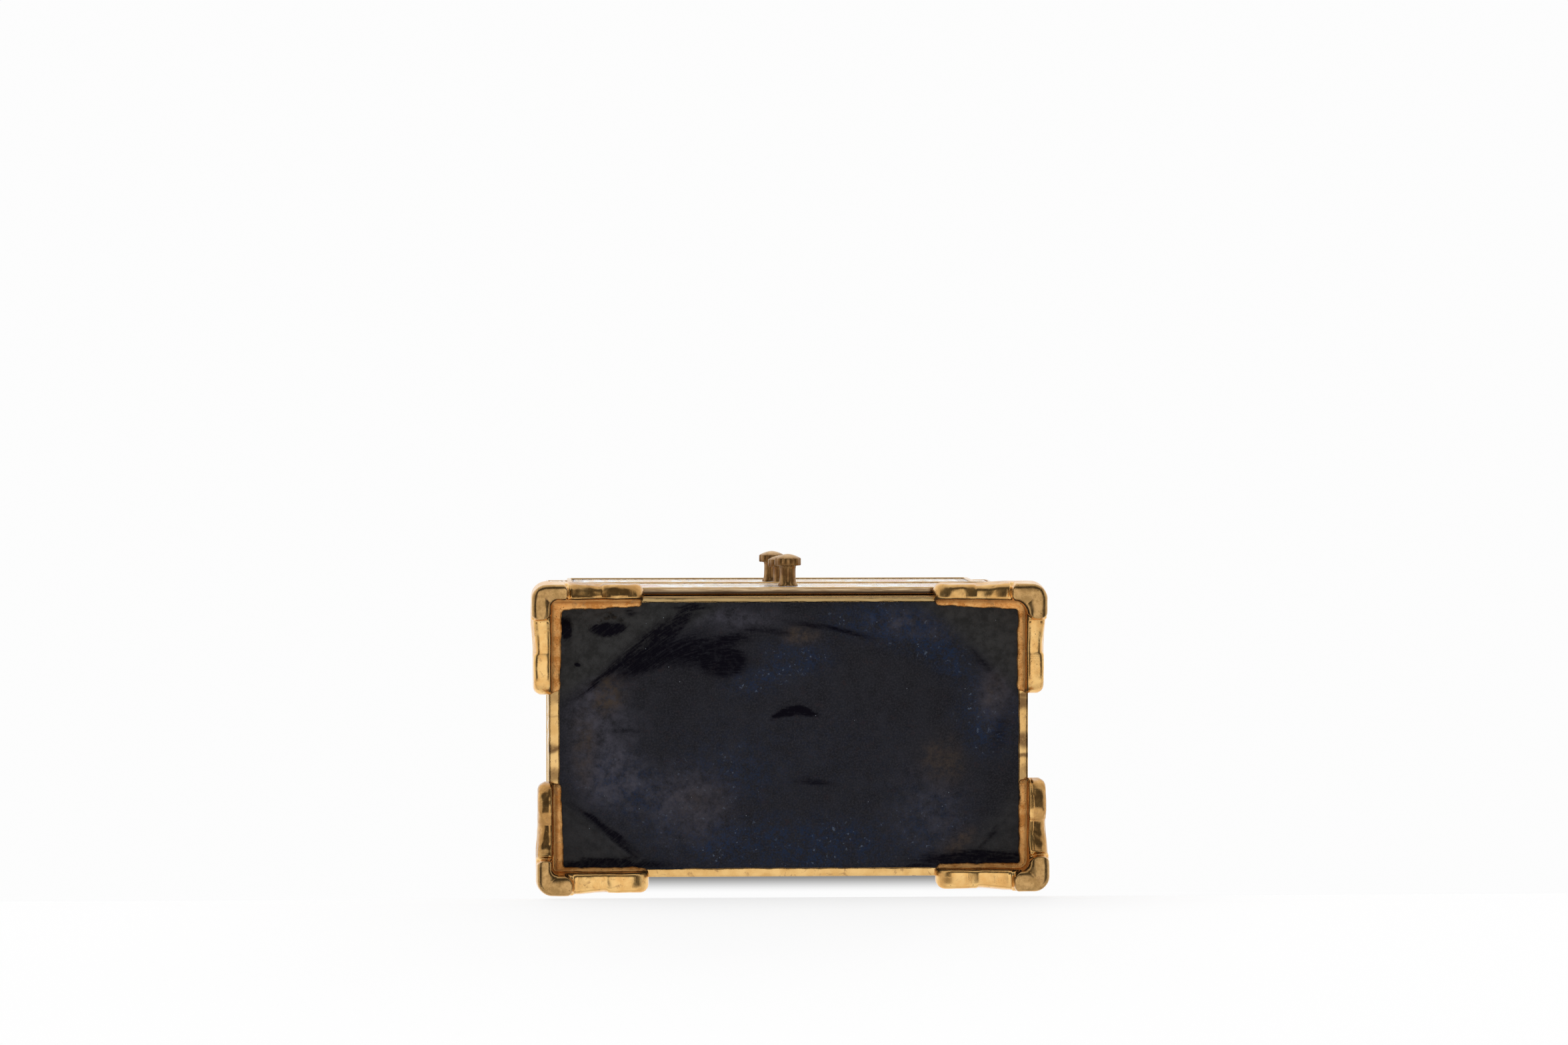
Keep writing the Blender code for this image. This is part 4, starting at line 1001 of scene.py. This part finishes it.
class Design:
    """Wires and enamel cells of one panel."""

    def __init__(self, seed):
        self.rng = np.random.default_rng(seed)
        self.wires, self.cells = Layer(), Layer()
        self.taken = []

    def wire(self, path, height=0.10, width=WIRE_WIDTH, closed=False):
        """Upstanding cloison with softened top edges."""
        profile = [(-width / 2, 0.0), (-width * 0.34, height), (width * 0.34, height), (width / 2, 0.0)]
        self.wires.sweep(path, profile, INKS["yellow"], closed)

    def cell(self, outline, root, reach, inner, outer, low):
        """Domed enamel inside an outline, shaded from the root outwards, with its wire."""
        middle = outline.mean(axis=0)
        rings = [np.column_stack([middle + (outline - middle) * share, np.full(len(outline), low + rise)])
                 for share, rise in ((1.0, 0.0), (0.80, 0.028), (0.45, 0.040))]
        points = np.concatenate(rings + [[(*middle, low + 0.043)]])
        n = len(outline)
        faces = loft_faces(3, n) + [(2 * n + i, 2 * n + (i + 1) % n, 3 * n) for i in range(n)]
        share = np.clip(np.linalg.norm(points[:, :2] - root, axis=1) / reach, 0, 1)[:, None] ** 1.4
        tone = self.rng.uniform(0.88, 1.06)
        tints = tone * (np.array(INKS[inner]) * (1 - share) + np.array(INKS[outer]) * share)
        self.cells.add(points, faces, tints)
        self.wire(outline, low + 0.060, closed=True)

    def dot(self, x, y, radius, colour, low, reach=1.0, corners=8):
        """Small round cell."""
        self.cell(circle(x, y, radius, corners), (x, y), reach, colour, colour, low)

    def blossom(self, x, y, length, width, colours, low):
        """Small flower of four petals."""
        for petal in range(4):
            outline = petal_outline((x, y), math.pi / 4 + math.pi / 2 * petal, length, width, 1.4)
            self.cell(outline, (x, y), length, *colours, low)

    def flower(self, x, y, radius, kind, colours, spin):
        """Layered blossom; the inner petals lie over the outer ones."""
        for layer, (count, reach, width) in enumerate(FLOWERS[kind]):
            for k in range(count):
                angle = spin + layer * math.pi / count + 2 * math.pi * k / count + self.rng.normal() * 0.03
                length = radius * reach * self.rng.uniform(0.94, 1.04)
                outline = petal_outline((x, y), angle, length, radius * width, 1.7 if width > 0.4 else 1.3)
                self.cell(outline, (x, y), length, *colours, 0.03 + LAYER_RISE * layer)
        self.dot(x, y, radius * 0.13, "yellow", 0.03 + LAYER_RISE * len(FLOWERS[kind]), radius * 0.2, 12)
        self.taken.append((x, y, radius))

    def leaf(self, x, y, angle, length):
        """Pointed leaf with its middle vein."""
        outline = petal_outline((x, y), angle, length, length * 0.40, 0.85)
        self.cell(outline, (x, y), length, "green", "lime", 0.035)
        tip_x, tip_y = np.array([math.cos(angle), math.sin(angle)]) * length * 0.82
        self.wire([(x, y), (x + tip_x / 2, y + tip_y / 2), (x + tip_x, y + tip_y)], 0.10, 0.12)
        self.taken.append((x + tip_x * 0.5, y + tip_y * 0.5, length * 0.42))

    def stem(self, path):
        """Green stem between two wires."""
        self.cells.sweep(path, [(-STEM_HALF, 0.03), (0.0, 0.06), (STEM_HALF, 0.03)], INKS["green"])
        for side in (-1, 1):
            self.wire(offset_path(path, side * STEM_HALF))
        self.taken.extend((p[0], p[1], STEM_HALF) for p in path[::3])

    def curl(self, x, y, size, spin):
        """Small cloud scroll of single wire."""
        turn = np.linspace(0, 2.6 * math.pi, 15)
        reach = size * (1 - 0.86 * turn / turn[-1])
        turn += spin
        self.wire(np.stack([x + reach * np.cos(turn), y + reach * np.sin(turn)], axis=1), 0.08, 0.13)

    def vine(self, start, step, bends, kinds, side):
        """Scrolling stem that coils round a flower in each of its bends; step leads from bend to bend."""
        start, step = np.array(start, dtype=float), np.array(step, dtype=float)
        pitch = float(np.linalg.norm(step))
        ahead = step / pitch
        up = np.array([-ahead[1], ahead[0]])
        radius = pitch / 2
        turns = np.linspace(COIL_START * math.pi, COIL_END * math.pi, COIL_POINTS)
        reaches = radius * (1 - COIL_IN * (turns - turns[0]) / (turns[-1] - turns[0]))
        for k in range(bends):
            middle = start + step * (k + 0.5)
            hand = side * (-1) ** k

            def place(angle, reach):
                return middle - ahead * reach * math.cos(angle) + up * hand * reach * math.sin(angle)

            arc = np.array([place(angle, radius) for angle in np.linspace(0, math.pi, ARC_POINTS)])
            coil = np.array([place(angle, reach) for angle, reach in zip(turns, reaches)])
            self.stem(arc)
            self.stem(coil)
            for path, leaves in ((arc, ARC_LEAVES), (coil, COIL_LEAVES)):
                for share, out in leaves:
                    self.sprout(path, share, out * hand)
            kind, colour = kinds[k % len(kinds)]
            self.flower(*middle, radius * 0.54, kind, BLOOMS[colour], self.rng.uniform(0, 1))

    def sprout(self, path, share, side):
        """Leaf beside a stem, leaning forward."""
        k = int(share * (len(path) - 2))
        ahead = path[k + 1] - path[k]
        angle = math.atan2(ahead[1], ahead[0])
        root = path[k] - side * STEM_HALF * np.array([math.sin(angle), -math.cos(angle)])
        lean = side * self.rng.uniform(0.60, 0.85)
        self.leaf(*root, angle + lean, LEAF_LENGTH * self.rng.uniform(0.72, 0.95))

    def ground_curls(self, half_s, half_t):
        """Cloud scrolls in the places that are still bare."""
        taken = np.array(self.taken)
        for s in np.arange(-half_s + 1.4, half_s - 1.2, CURL_GRID):
            for t in np.arange(-half_t + 1.4, half_t - 1.2, CURL_GRID):
                x, y = s + self.rng.uniform(-0.4, 0.4), t + self.rng.uniform(-0.4, 0.4)
                room = (np.hypot(taken[:, 0] - x, taken[:, 1] - y) - taken[:, 2]).min()
                if room > 0.75:
                    self.curl(x, y, min(1.15, room - 0.05), self.rng.uniform(0, 2 * math.pi))

    def frame(self, half_s, half_t, edge):
        """Wire that covers the joint round the panel, and a blue band of small blossoms inside it."""
        self.wire(rectangle(half_s + edge / 2 - 0.15, half_t + edge / 2 - 0.15), 0.10, edge, closed=True)
        inner, outer = rectangle(half_s - BAND, half_t - BAND), rectangle(half_s - 0.1, half_t - 0.1)
        self.wire(inner, 0.11, 0.26, closed=True)
        for k in range(4):
            m = (k + 1) % 4
            flat = np.array([outer[k], outer[m], inner[m], inner[k]])
            self.cells.add(np.column_stack([flat, np.full(4, 0.025)]), [(0, 1, 2, 3)], INKS["navy"])
        middle = np.array(rectangle(half_s - BAND / 2 - 0.1, half_t - BAND / 2 - 0.1))
        for first, last in zip(middle, np.roll(middle, -1, axis=0)):
            count = int(round(np.linalg.norm(last - first) / BAND_PITCH))
            for k in range(count):
                self.blossom(*(first + (last - first) * k / count), 1.05, 0.72, ("turquoise", "white"), 0.035)
                self.dot(*(first + (last - first) * (k + 0.5) / count), 0.34, "coral", 0.035)


def circle(x, y, radius, count):
    """Points of a circle."""
    angles = np.linspace(0, 2 * math.pi, count, endpoint=False)
    return np.stack([x + radius * np.cos(angles), y + radius * np.sin(angles)], axis=1)


def rectangle(half_s, half_t):
    """Corners of a rectangle round the origin."""
    return [(-half_s, -half_t), (half_s, -half_t), (half_s, half_t), (-half_s, half_t)]


def offset_path(path, distance):
    """Path beside another one."""
    path = np.asarray(path, dtype=float)
    ahead = np.gradient(path, axis=0)
    ahead /= np.linalg.norm(ahead, axis=1)[:, None]
    return path + distance * np.stack([-ahead[:, 1], ahead[:, 0]], axis=1)


# The panels: CAD node, right, up, outward, body, rows of vines, bends in a row, lift of the relief
AXIS_X, AXIS_Y, AXIS_Z = (1, 0, 0), (0, 1, 0), (0, 0, 1)
MINUS_X, MINUS_Y = (-1, 0, 0), (0, -1, 0)
PANELS = (
    ("left_enamel", MINUS_Y, AXIS_Z, MINUS_X, "case", 2, 4, 0.2),
    ("right_enamel", AXIS_Y, AXIS_Z, AXIS_X, "case", 2, 4, 0.2),
    ("back_enamel", MINUS_X, AXIS_Z, AXIS_Y, "case", 4, 4, 0.5),
    ("top_enamel", AXIS_X, AXIS_Y, AXIS_Z, "case", 2, 4, 0.45),
    ("bottom_drawer_enamel", AXIS_X, AXIS_Z, MINUS_Y, "bottom_drawer", 1, 4, 0.12),
    ("middle_drawer_enamel", AXIS_X, AXIS_Z, MINUS_Y, "middle_drawer", 1, 4, 0.12),
    ("top_drawer_enamel", AXIS_X, AXIS_Z, MINUS_Y, "top_drawer", 1, 4, 0.12),
)
JOINT_COVER = 0.62
KNOB_CLEAR = 3.2
# Pattern of the face frame: clearance round the drawer fronts, how far it stays from the openings,
# spacing of the blossoms up its stiles, and the waves along its rails
FRONT_CLEAR, PATTERN_CLEAR = 0.4, 0.85
STILE_PITCH = 5.2
RAIL_WAVE = 1.5


def panel_place(node, right, up, outward, lift):
    """Origin and directions of a panel's outer face, and its half sizes in millimetres."""
    low, high = (np.array(corner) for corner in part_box(node))
    right, up, outward = (np.array(v, dtype=float) for v in (right, up, outward))
    middle, half = (low + high) / 2, (high - low) / 2
    origin = middle + outward * float(np.abs(outward) @ half)
    return (origin, right, up, outward, lift), float(np.abs(right) @ half) / MM, float(np.abs(up) @ half) / MM


def make_panel(row, seed, wire_finish, cell_finish):
    """Pattern of one enamel panel."""
    node, right, up, outward, body, rows, bends, lift = row
    panel, half_s, half_t = panel_place(node, right, up, outward, lift)
    design = Design(seed)
    design.frame(half_s, half_t, JOINT_COVER)
    inner_s, inner_t = half_s - BAND - 0.5, half_t - BAND - 0.5
    tall = half_t > half_s
    run, cross = (inner_t, inner_s) if tall else (inner_s, inner_t)
    pitch = min(2 * run / bends, 2 * cross / rows)
    for k in range(rows):
        offset = (k - (rows - 1) / 2) * 2 * cross / rows
        kinds = [((k + j + seed) % len(FLOWERS), (2 * k + j + seed) % len(BLOOMS)) for j in range(bends)]
        start = (offset, -pitch * bends / 2) if tall else (-pitch * bends / 2, offset)
        step = (0, pitch) if tall else (pitch, 0)
        design.vine(start, step, bends, kinds, 1 if k % 2 == 0 else -1)
    if "drawer" in node:
        design.taken.append((0, 0, KNOB_CLEAR))
    design.ground_curls(inner_s, inner_t)
    base = node.replace("_enamel", "")
    placed(design.wires, base + "_cloisons", panel, wire_finish, body, "gilt_brass")
    placed(design.cells, base + "_cells", panel, cell_finish, body, "ivory_enamel")


def make_frame_pattern(wire_finish, cell_finish):
    """Blossoms up the stiles and waves along the rails of the face frame."""
    panel, half_s, half_t = panel_place("frame_enamel", AXIS_X, AXIS_Z, MINUS_Y, 0.15)
    centre = panel[0] / MM
    design = Design(57)
    fronts = [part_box(f"{name}_drawer_front") for name in DRAWER_NAMES]
    stile_in = (fronts[0][0].x / MM - centre[0]) - FRONT_CLEAR - PATTERN_CLEAR
    stile_middle = (-half_s + stile_in) / 2
    count = int(2 * half_t / STILE_PITCH)
    for side in (-1, 1):
        for k in range(count):
            x, y = side * -stile_middle, -half_t + 2 * half_t * (k + 0.5) / count
            design.blossom(x, y, 1.1, 0.75, ("navy", "sky") if k % 2 else ("pink", "white"), 0.03)
            if k < count - 1:
                design.dot(x, y + half_t / count, 0.36, "green", 0.03)
    levels = [((below[1].z + above[0].z) / 2) / MM - centre[2] for below, above in zip(fronts, fronts[1:])]
    s = np.arange(stile_in, -stile_in, 0.18)
    for level in [-half_t + 0.2] + levels + [half_t - 0.55]:
        design.wire(np.stack([s, level + 0.20 * np.sin(2 * math.pi * s / RAIL_WAVE)], axis=1), 0.07, 0.12)
    placed(design.wires, "frame_cloisons", panel, wire_finish, "case", "gilt_brass")
    placed(design.cells, "frame_cells", panel, cell_finish, "case", "ivory_enamel")


# Drawers

KNOB_CORNERS = 192
KNOB_PETALS = 8
# Rings of a knob from the enamel outwards, as (height, radius, depth of the petals as a share of the radius)
KNOB_RINGS = (
    (-0.02, 2.15, 0.05), (0.10, 2.18, 0.05), (0.30, 2.10, 0.05), (0.60, 1.90, 0.04), (1.00, 1.78, 0.03),
    (1.60, 1.72, 0.03), (2.60, 1.70, 0.03), (3.60, 1.70, 0.03), (4.15, 1.78, 0.04), (4.32, 1.95, 0.06),
    (4.36, 2.68, 0.08), (4.40, 2.80, 0.08), (4.50, 2.86, 0.08), (5.10, 2.87, 0.08), (5.80, 2.86, 0.08),
    (5.90, 2.82, 0.08), (5.96, 2.72, 0.075), (6.16, 2.36, 0.06), (6.42, 1.80, 0.04), (6.62, 1.20, 0.02),
    (6.76, 0.60, 0.01), (6.82, 0.10, 0.0),
)
STUD_REACH = 0.9
LINING_COLUMNS, LINING_ROWS = 150, 84
LINING_CROWN = 0.35
LINING_EDGE = 0.25


def make_knob(drawer, material):
    """Chased knob: petalled foot, shank and head, with a low dome."""
    node = f"{drawer}_drawer_knob"
    low, high = box_mm(node)
    enamel_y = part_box(f"{drawer}_drawer_enamel")[0].y / MM
    centre_x, centre_z = (low[0] + high[0]) / 2, (low[2] + high[2]) / 2
    tallest = enamel_y - low[1]
    scale = tallest / KNOB_RINGS[-1][0]
    angles = np.linspace(0, 2 * math.pi, KNOB_CORNERS, endpoint=False)
    between = 1 - np.abs(np.cos(KNOB_PETALS * angles / 2)) ** 0.8
    rings = [(-(high[1] - enamel_y), STUD_REACH, 0.0), (-0.02, STUD_REACH, 0.0)]
    rings += [(height * scale, radius, depth) for height, radius, depth in KNOB_RINGS]
    points, crown = [], []
    for height, radius, depth in rings:
        reach = radius * (1 - depth * between * (1.6 if height < 4.2 else 1.0))
        points.append(np.stack([centre_x + reach * np.cos(angles), np.full(KNOB_CORNERS, enamel_y - height),
                                centre_z + reach * np.sin(angles)], axis=1))
        crown.append(np.full(KNOB_CORNERS, float(ramp(np.array(height / tallest), 0.84, 0.97))))
    points = np.concatenate(points)
    points += 0.02 * lumps(points, 1.6, 201)[:, None] * np.array([1.0, 0.0, 1.0])
    points[:, 1] = np.maximum(points[:, 1], low[1])
    first, last = range(KNOB_CORNERS), range(len(points) - KNOB_CORNERS, len(points))
    faces = loft_faces(len(rings), KNOB_CORNERS) + [tuple(first)[::-1], tuple(last)]
    add_piece(f"{drawer}_knob_chased", points * MM, faces, material, f"{drawer}_drawer", "gilt_brass", node,
              crown=np.concatenate(crown))


def make_lining(drawer, material, seed):
    """Velvet over a thin pad: crowned, drawn down at its edges, with the marks of handling."""
    node = f"{drawer}_drawer_lining"
    low, high = box_mm(node)
    lines = (np.linspace(-1, 1, count) for count in (LINING_COLUMNS, LINING_ROWS))
    u, v = (g.ravel() for g in np.meshgrid(*lines, indexing="ij"))
    x = (low[0] + high[0]) / 2 + u * (high[0] - low[0]) / 2
    y = (low[1] + high[1]) / 2 + v * (high[1] - low[1]) / 2
    edge = np.minimum(x - low[0], np.minimum(high[0] - x, np.minimum(y - low[1], high[1] - y)))
    rounded = np.sqrt(np.clip(1 - (1 - np.clip(edge / 1.1, 0, 1)) ** 2, 0, 1))
    thick = high[2] - low[2]
    crown = LINING_CROWN * (1 - u ** 4) * (1 - v ** 4)
    flat = np.stack([x, y], axis=1)
    puckers = 0.05 * np.exp(-edge / 2.2) * lumps(flat, 2.6, seed) + 0.03 * lumps(flat, 14.0, seed + 1)
    top = low[2] + LINING_EDGE + (thick - LINING_EDGE) * rounded + crown + puckers * rounded
    points, faces, _ = skirted(LINING_COLUMNS, LINING_ROWS, np.stack([x, y, top], axis=1), low[2])
    piece = add_piece(f"{drawer}_velvet_pad", points * MM, faces, material,
                      f"{drawer}_drawer", "blue_velvet", node)


# Camera, lights and stage

def make_camera():
    """Camera of the photograph, from the vanishing point of the upright edges and the middle of the base."""
    def ray(pixel):
        """Direction of a pixel as (right, up, forward), one unit deep."""
        right = (pixel[0] - IMAGE_SIZE[0] / 2) / FOCAL_PIXELS
        up = (IMAGE_SIZE[1] / 2 - pixel[1]) / FOCAL_PIXELS
        return Vector((right, up, 1.0))

    world_z = ray(UPRIGHT_VANISHING_POINT).normalized()
    world_x = (Vector((1, 0, 0)) - world_z * world_z.x).normalized()
    world_y = world_x.cross(world_z)
    right, up, forward = (Vector((world_x[k], world_y[k], world_z[k])) for k in range(3))
    offset = ray(BASE_CENTRE_PIXEL) * CAMERA_DISTANCE
    place = Vector((CENTRE_X, CENTRE_Y, RIM_LOW.z)) - right * offset.x - up * offset.y - forward * offset.z
    data = bpy.data.cameras.new("camera")
    data.sensor_width = SENSOR_WIDTH
    data.lens = FOCAL_PIXELS / IMAGE_SIZE[0] * SENSOR_WIDTH
    data.clip_start, data.clip_end = CLIP_NEAR, CLIP_FAR
    camera = add_object("camera", data)
    camera.matrix_world = Matrix.Translation(place) @ Matrix((right, up, -forward)).transposed().to_4x4()
    bpy.context.scene.camera = camera


def make_lamps():
    """Large soft distant lamps, so that the floor is evenly bright; only the studio shows in reflections."""
    for name, direction, strength, degrees in LAMPS:
        lamp = bpy.data.lights.new(name, "SUN")
        lamp.energy = strength
        lamp.angle = math.radians(degrees)
        made = add_object(name, lamp)
        made.rotation_euler = Vector(direction).to_track_quat("Z", "Y").to_euler()
        made.visible_glossy = False


def make_world():
    """White studio; in reflections it is bright round the photograph's camera, with a dark ring outside."""
    world = bpy.data.worlds.new("studio")
    bpy.context.scene.world = world
    made = Nodes(world, "ShaderNodeOutputWorld")
    _, y, z = made.split(made.add("ShaderNodeTexCoord", output="Generated"))
    low_part = made.calc("MAXIMUM", made.span(z, *SCREEN), made.span(y, *TABLE_LIGHT))
    mirror = made.mix(made.span(z, *HORIZON), low_part, made.span(z, *CEILING))
    path = made.add("ShaderNodeLightPath").node.outputs
    level = made.mix(path["Is Glossy Ray"], AMBIENT, mirror)
    seen = made.calc("MAXIMUM", path["Is Camera Ray"], path["Is Transmission Ray"])
    made.show(made.add("ShaderNodeBackground", {"Color": made.mix(seen, level, PALE)}))


def stage_material(name, normal, albedo, short):
    """Pale matt paper that is seen from its front only; its own glow makes up what the lamps leave short."""
    made = Finish(name)
    lit = AMBIENT
    for _, direction, strength, _ in LAMPS:
        lit += max(0.0, Vector(direction).normalized().dot(Vector(normal))) * strength / math.pi
    colour = made.blend(made.noise(0.3, unit=1.0), (albedo,) * 3, (albedo * 0.995,) * 3)
    matt = made.add("ShaderNodeBsdfDiffuse", {"Color": colour})
    glow = made.add("ShaderNodeEmission", {"Color": (1, 1, 1, 1), "Strength": PALE - short - albedo * lit})
    return made.one_sided(made.add("ShaderNodeAddShader", {0: matt, 1: glow}))


def painted_shadow_material():
    """Painted shadow in the gap between the chest as it lies and the table: a glowing sheet, pale at the
    table and dark further in, as if light from outside reached a little way in.
    """
    made = Finish("painted_gap_shadow")
    depth = made.span(made.split(made.place)[1], TABLE_Y - GAP_DARK, TABLE_Y, 1.0, 0.0)
    light = made.blend(depth, (PALE,) * 3, (0.20, 0.197, 0.193))
    return made.one_sided(made.add("ShaderNodeEmission", {"Color": light, "Strength": 1.0}))


def make_stage():
    """Floor for the upright chest, the table on which it lies on its back in the photograph, and a sheet with
    the painted shadow in the gap under it.
    """
    half, gap, near = FLOOR_HALF, GAP_HALF, TABLE_Y - GAP_REACH
    for name, corners, material in (
        ("floor", [(-half, -half, 0), (half, -half, 0), (half, half, 0), (-half, half, 0)],
         stage_material("floor_paper", (0, 0, 1), FLOOR_ALBEDO, FLOOR_SHORT)),
        ("table", [(-half, TABLE_Y, -half), (half, TABLE_Y, -half), (half, TABLE_Y, 0), (-half, TABLE_Y, 0)],
         stage_material("table_paper", (0, -1, 0), TABLE_ALBEDO, TABLE_SHORT)),
        ("painted_shadow_sheet", [(-gap, near, GAP_HEIGHT), (-gap, TABLE_Y, GAP_HEIGHT),
                            (gap, TABLE_Y, GAP_HEIGHT), (gap, near, GAP_HEIGHT)], painted_shadow_material()),
    ):
        made = mesh_object(name, corners, [(0, 1, 2, 3)], material, smooth=False)
        made.visible_diffuse = made.visible_glossy = made.visible_transmission = made.visible_shadow = False


# Putting it together

make_camera()
make_lamps()
make_world()
make_stage()
bpy.context.scene.view_settings.view_transform = "Standard"

BASE, VELVET, PLATE = counter_enamel(), velvet(), plate_brass()
FINISH_OF_SLOT = {
    "gilt_brass": trim_brass("trim_brass", TRIM_BRIGHT, TRIM_DEEP),
    "sheet_brass": sheet_brass(),
    "ivory_enamel": ground_enamel(),
    "navy_enamel": BASE,
    "blue_velvet": VELVET,
}

CAST = cast_brass()
for seed, foot in enumerate(FOOT_ARMS):
    make_foot(foot, CAST, 100 + 10 * seed)
make_rim(rim_brass())
make_base(BASE)
PATTERN = (trim_brass("cloison_gilt", (0.88, 0.60, 0.24), (0.80, 0.50, 0.18), 0.2), cell_enamel())
for seed, row in enumerate(PANELS):
    make_panel(row, 11 + seed, *PATTERN)
make_frame_pattern(*PATTERN)
KNOB = knob_brass()
for seed, drawer in enumerate(DRAWER_NAMES):
    make_knob(drawer, KNOB)
    make_lining(drawer, VELVET, 71 + seed)

for part in frame["record"]["subparts"]:
    for slot in frame["nodes"][part["node"]].material_slots:
        slot.material = FINISH_OF_SLOT[part["material_slot"]]
for drawer in DRAWER_NAMES:
    frame["nodes"][f"{drawer}_drawer_front"].material_slots[0].material = PLATE
